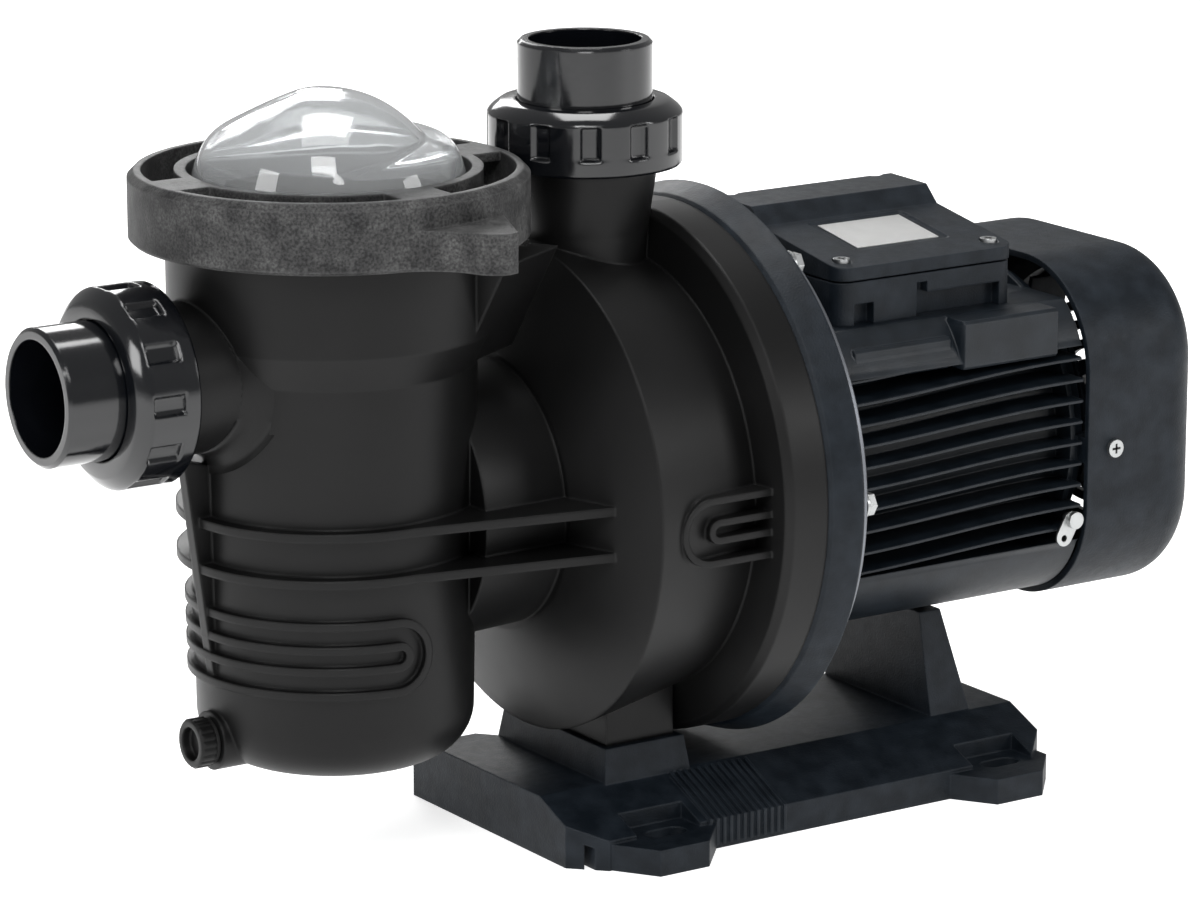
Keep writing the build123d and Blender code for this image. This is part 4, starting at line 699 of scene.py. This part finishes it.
panels = []
for side in (1, -1):
    for x_span, reach, z_span in (((front + 24, front + 80), 74.0, (44.0, 58.5)),
                                  ((front + 82, rear - 14), 78.5, (43.0, 65.5))):
        y_span = sorted((side * 52.0, side * reach))
        panels.append((slab(x_span, y_span, z_span), True, False, True))
shells = [(tube, True, True, False), (lower, True, False, False), (upper, True, False, False)]
motor_body = joined("motor_body_casting", shells + fin_parts + panels, motor_paint, "pump")
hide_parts("motor_frame")
print("motor body faces", len(motor_body.data.polygons))

# %% [markdown]
# ## A root fillet
# Moulded plastic never meets at a sharp inside corner. The frame can't be rounded, so a thin wedge is laid
# into the corner. Its face is a quadratic curve from one wall to the other, with C the sharp corner:
# P(t) = (1 - t)^2 A + 2 t (1 - t) C + t^2 B.

# %% A fillet on the housing
POT_R = 63.4


def fillet_piece(name, start, corner, stop, steps=12):
    """A wedge between two walls: start, corner and stop are closed curves of the same length, in metres."""
    t = np.linspace(0, 1, steps)[:, None, None]
    face = (1 - t) ** 2 * start + 2 * t * (1 - t) * corner + t ** 2 * stop
    piece = grid_piece(name, np.concatenate([face, corner[None]]), loop_rows=True, sharp=60)
    dress(piece, housing_black)
    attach(piece, "pump")
    return piece


turn = np.linspace(0, 2 * pi, 144, endpoint=False)
suction_z = middle("suction_union_nut")[2]


def spigot_curve(radius, lift):
    """A circle about the suction axis, radius in mm, laid on the pot wall and lifted off it towards the
    pipe."""
    y, z = radius * np.cos(turn), radius * np.sin(turn)
    x = pot[0] / MM - np.sqrt(POT_R ** 2 - np.minimum(y ** 2, (POT_R - 1) ** 2)) - lift
    return np.stack([x, y, z + suction_z / MM], axis=-1) * MM


SPIGOT_R = 32.9
FILLET_R = 10.1
suction_fillet = fillet_piece("suction_root_fillet", spigot_curve(SPIGOT_R, 11.0),
                              spigot_curve(SPIGOT_R, -0.4), spigot_curve(SPIGOT_R + FILLET_R, -0.3))
print("fillets on the suction root", len(suction_fillet.data.polygons))

# %% [markdown]
# ## Cross recesses
# The screws that show have cross-head drives. The heads belong to the frame, so nothing can be cut out of
# them. Each recess is two crossed bars let into the head by a few tenths of a millimetre instead, in black:
# a painted shadow that stands in for the shade inside a real recess.

# %% Cross recesses
DRIVE_LONG = 4.6
DRIVE_WIDE = 1.1
DRIVE_DEEP = 0.4
DRIVE_PROUD = 0.06
HEAD_SINK = DRIVE_DEEP / 2 - DRIVE_PROUD


def bar(centre, axis, long_axis, length, width):
    """Eight corners of a thin bar, mm: length and width across the head, DRIVE_DEEP along the screw."""
    half = np.full(3, width / 2)
    half[long_axis] = length / 2
    half[axis] = DRIVE_DEEP / 2
    signs = np.array([(i & 1, i >> 1 & 1, i >> 2 & 1) for i in range(8)]) * 2 - 1
    return np.array(centre) + signs * half


def cross_recesses(name, heads, axis):
    """Crosses on screw heads: heads are their centres in mm, axis the screws' direction, 0 to 2."""
    box_faces = np.array([(0, 2, 3, 1), (4, 5, 7, 6), (0, 1, 5, 4), (2, 6, 7, 3), (0, 4, 6, 2), (1, 3, 7, 5)])
    across = [a for a in range(3) if a != axis]
    bars = [bar(head, axis, long_axis, DRIVE_LONG, DRIVE_WIDE) for head in heads for long_axis in across]
    faces = np.concatenate([box_faces + 8 * k for k in range(len(bars))])
    piece = faces_piece(name, np.concatenate(bars) * MM, faces.tolist())
    # Painted shadow: the bars take the black finish to stand for the shade inside a real recess.
    dress(piece, rubber_and_recess_shade_black)
    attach(piece, "pump")
    return piece


def corner_heads(node):
    """Centres, mm, for the crosses of four screws that stand in the four corners of their node's box."""
    points = np.array([v.co for v in nodes[node].data.vertices]) / MM
    centre = (points.min(axis=0) + points.max(axis=0)) / 2
    heads = []
    for sx in (-1, 1):
        for sy in (-1, 1):
            own = points[((points[:, 0] - centre[0]) * sx > 0) & ((points[:, 1] - centre[1]) * sy > 0)]
            low, high = own.min(axis=0), own.max(axis=0)
            heads.append(((low[0] + high[0]) / 2, (low[1] + high[1]) / 2, high[2] - HEAD_SINK))
    return heads


screw_low, screw_high = (np.array(corner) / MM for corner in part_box("fan_cover_screws"))
side_heads = [((screw_low[0] + screw_high[0]) / 2, y, (screw_low[2] + screw_high[2]) / 2)
              for y in (screw_low[1] + HEAD_SINK, screw_high[1] - HEAD_SINK)]
cross_recesses("fan_screw_recesses", side_heads, 1)
cross_recesses("lid_screw_recesses", corner_heads("terminal_lid_screws"), 2)
print("fan cover screw heads at", np.round(side_heads, 1).tolist())

# %% [markdown]
# ## Floor
# A large pale sheet under the base. It glows a little, so that it stays white under soft lamps. It is only
# the stage, not part of the pump.

# %% Floor
floor_span = 6.0
corners = np.array([[-1, -1, 0], [1, -1, 0], [1, 1, 0], [-1, 1, 0]]) * floor_span
floor = faces_piece("floor", corners, [[0, 1, 2, 3]])
floor_white, _, floor_shader = new_finish("floor_white")
floor_shader.inputs["Base Color"].default_value = (0.92, 0.92, 0.92, 1)
floor_shader.inputs["Roughness"].default_value = 0.9
floor_shader.inputs["Specular IOR Level"].default_value = 0.0
floor_shader.inputs["Emission Color"].default_value = (1.0, 1.0, 1.0, 1)
floor_shader.inputs["Emission Strength"].default_value = 0.62
floor.data.materials.append(floor_white)
print("floor", floor_span * 2, "m square")
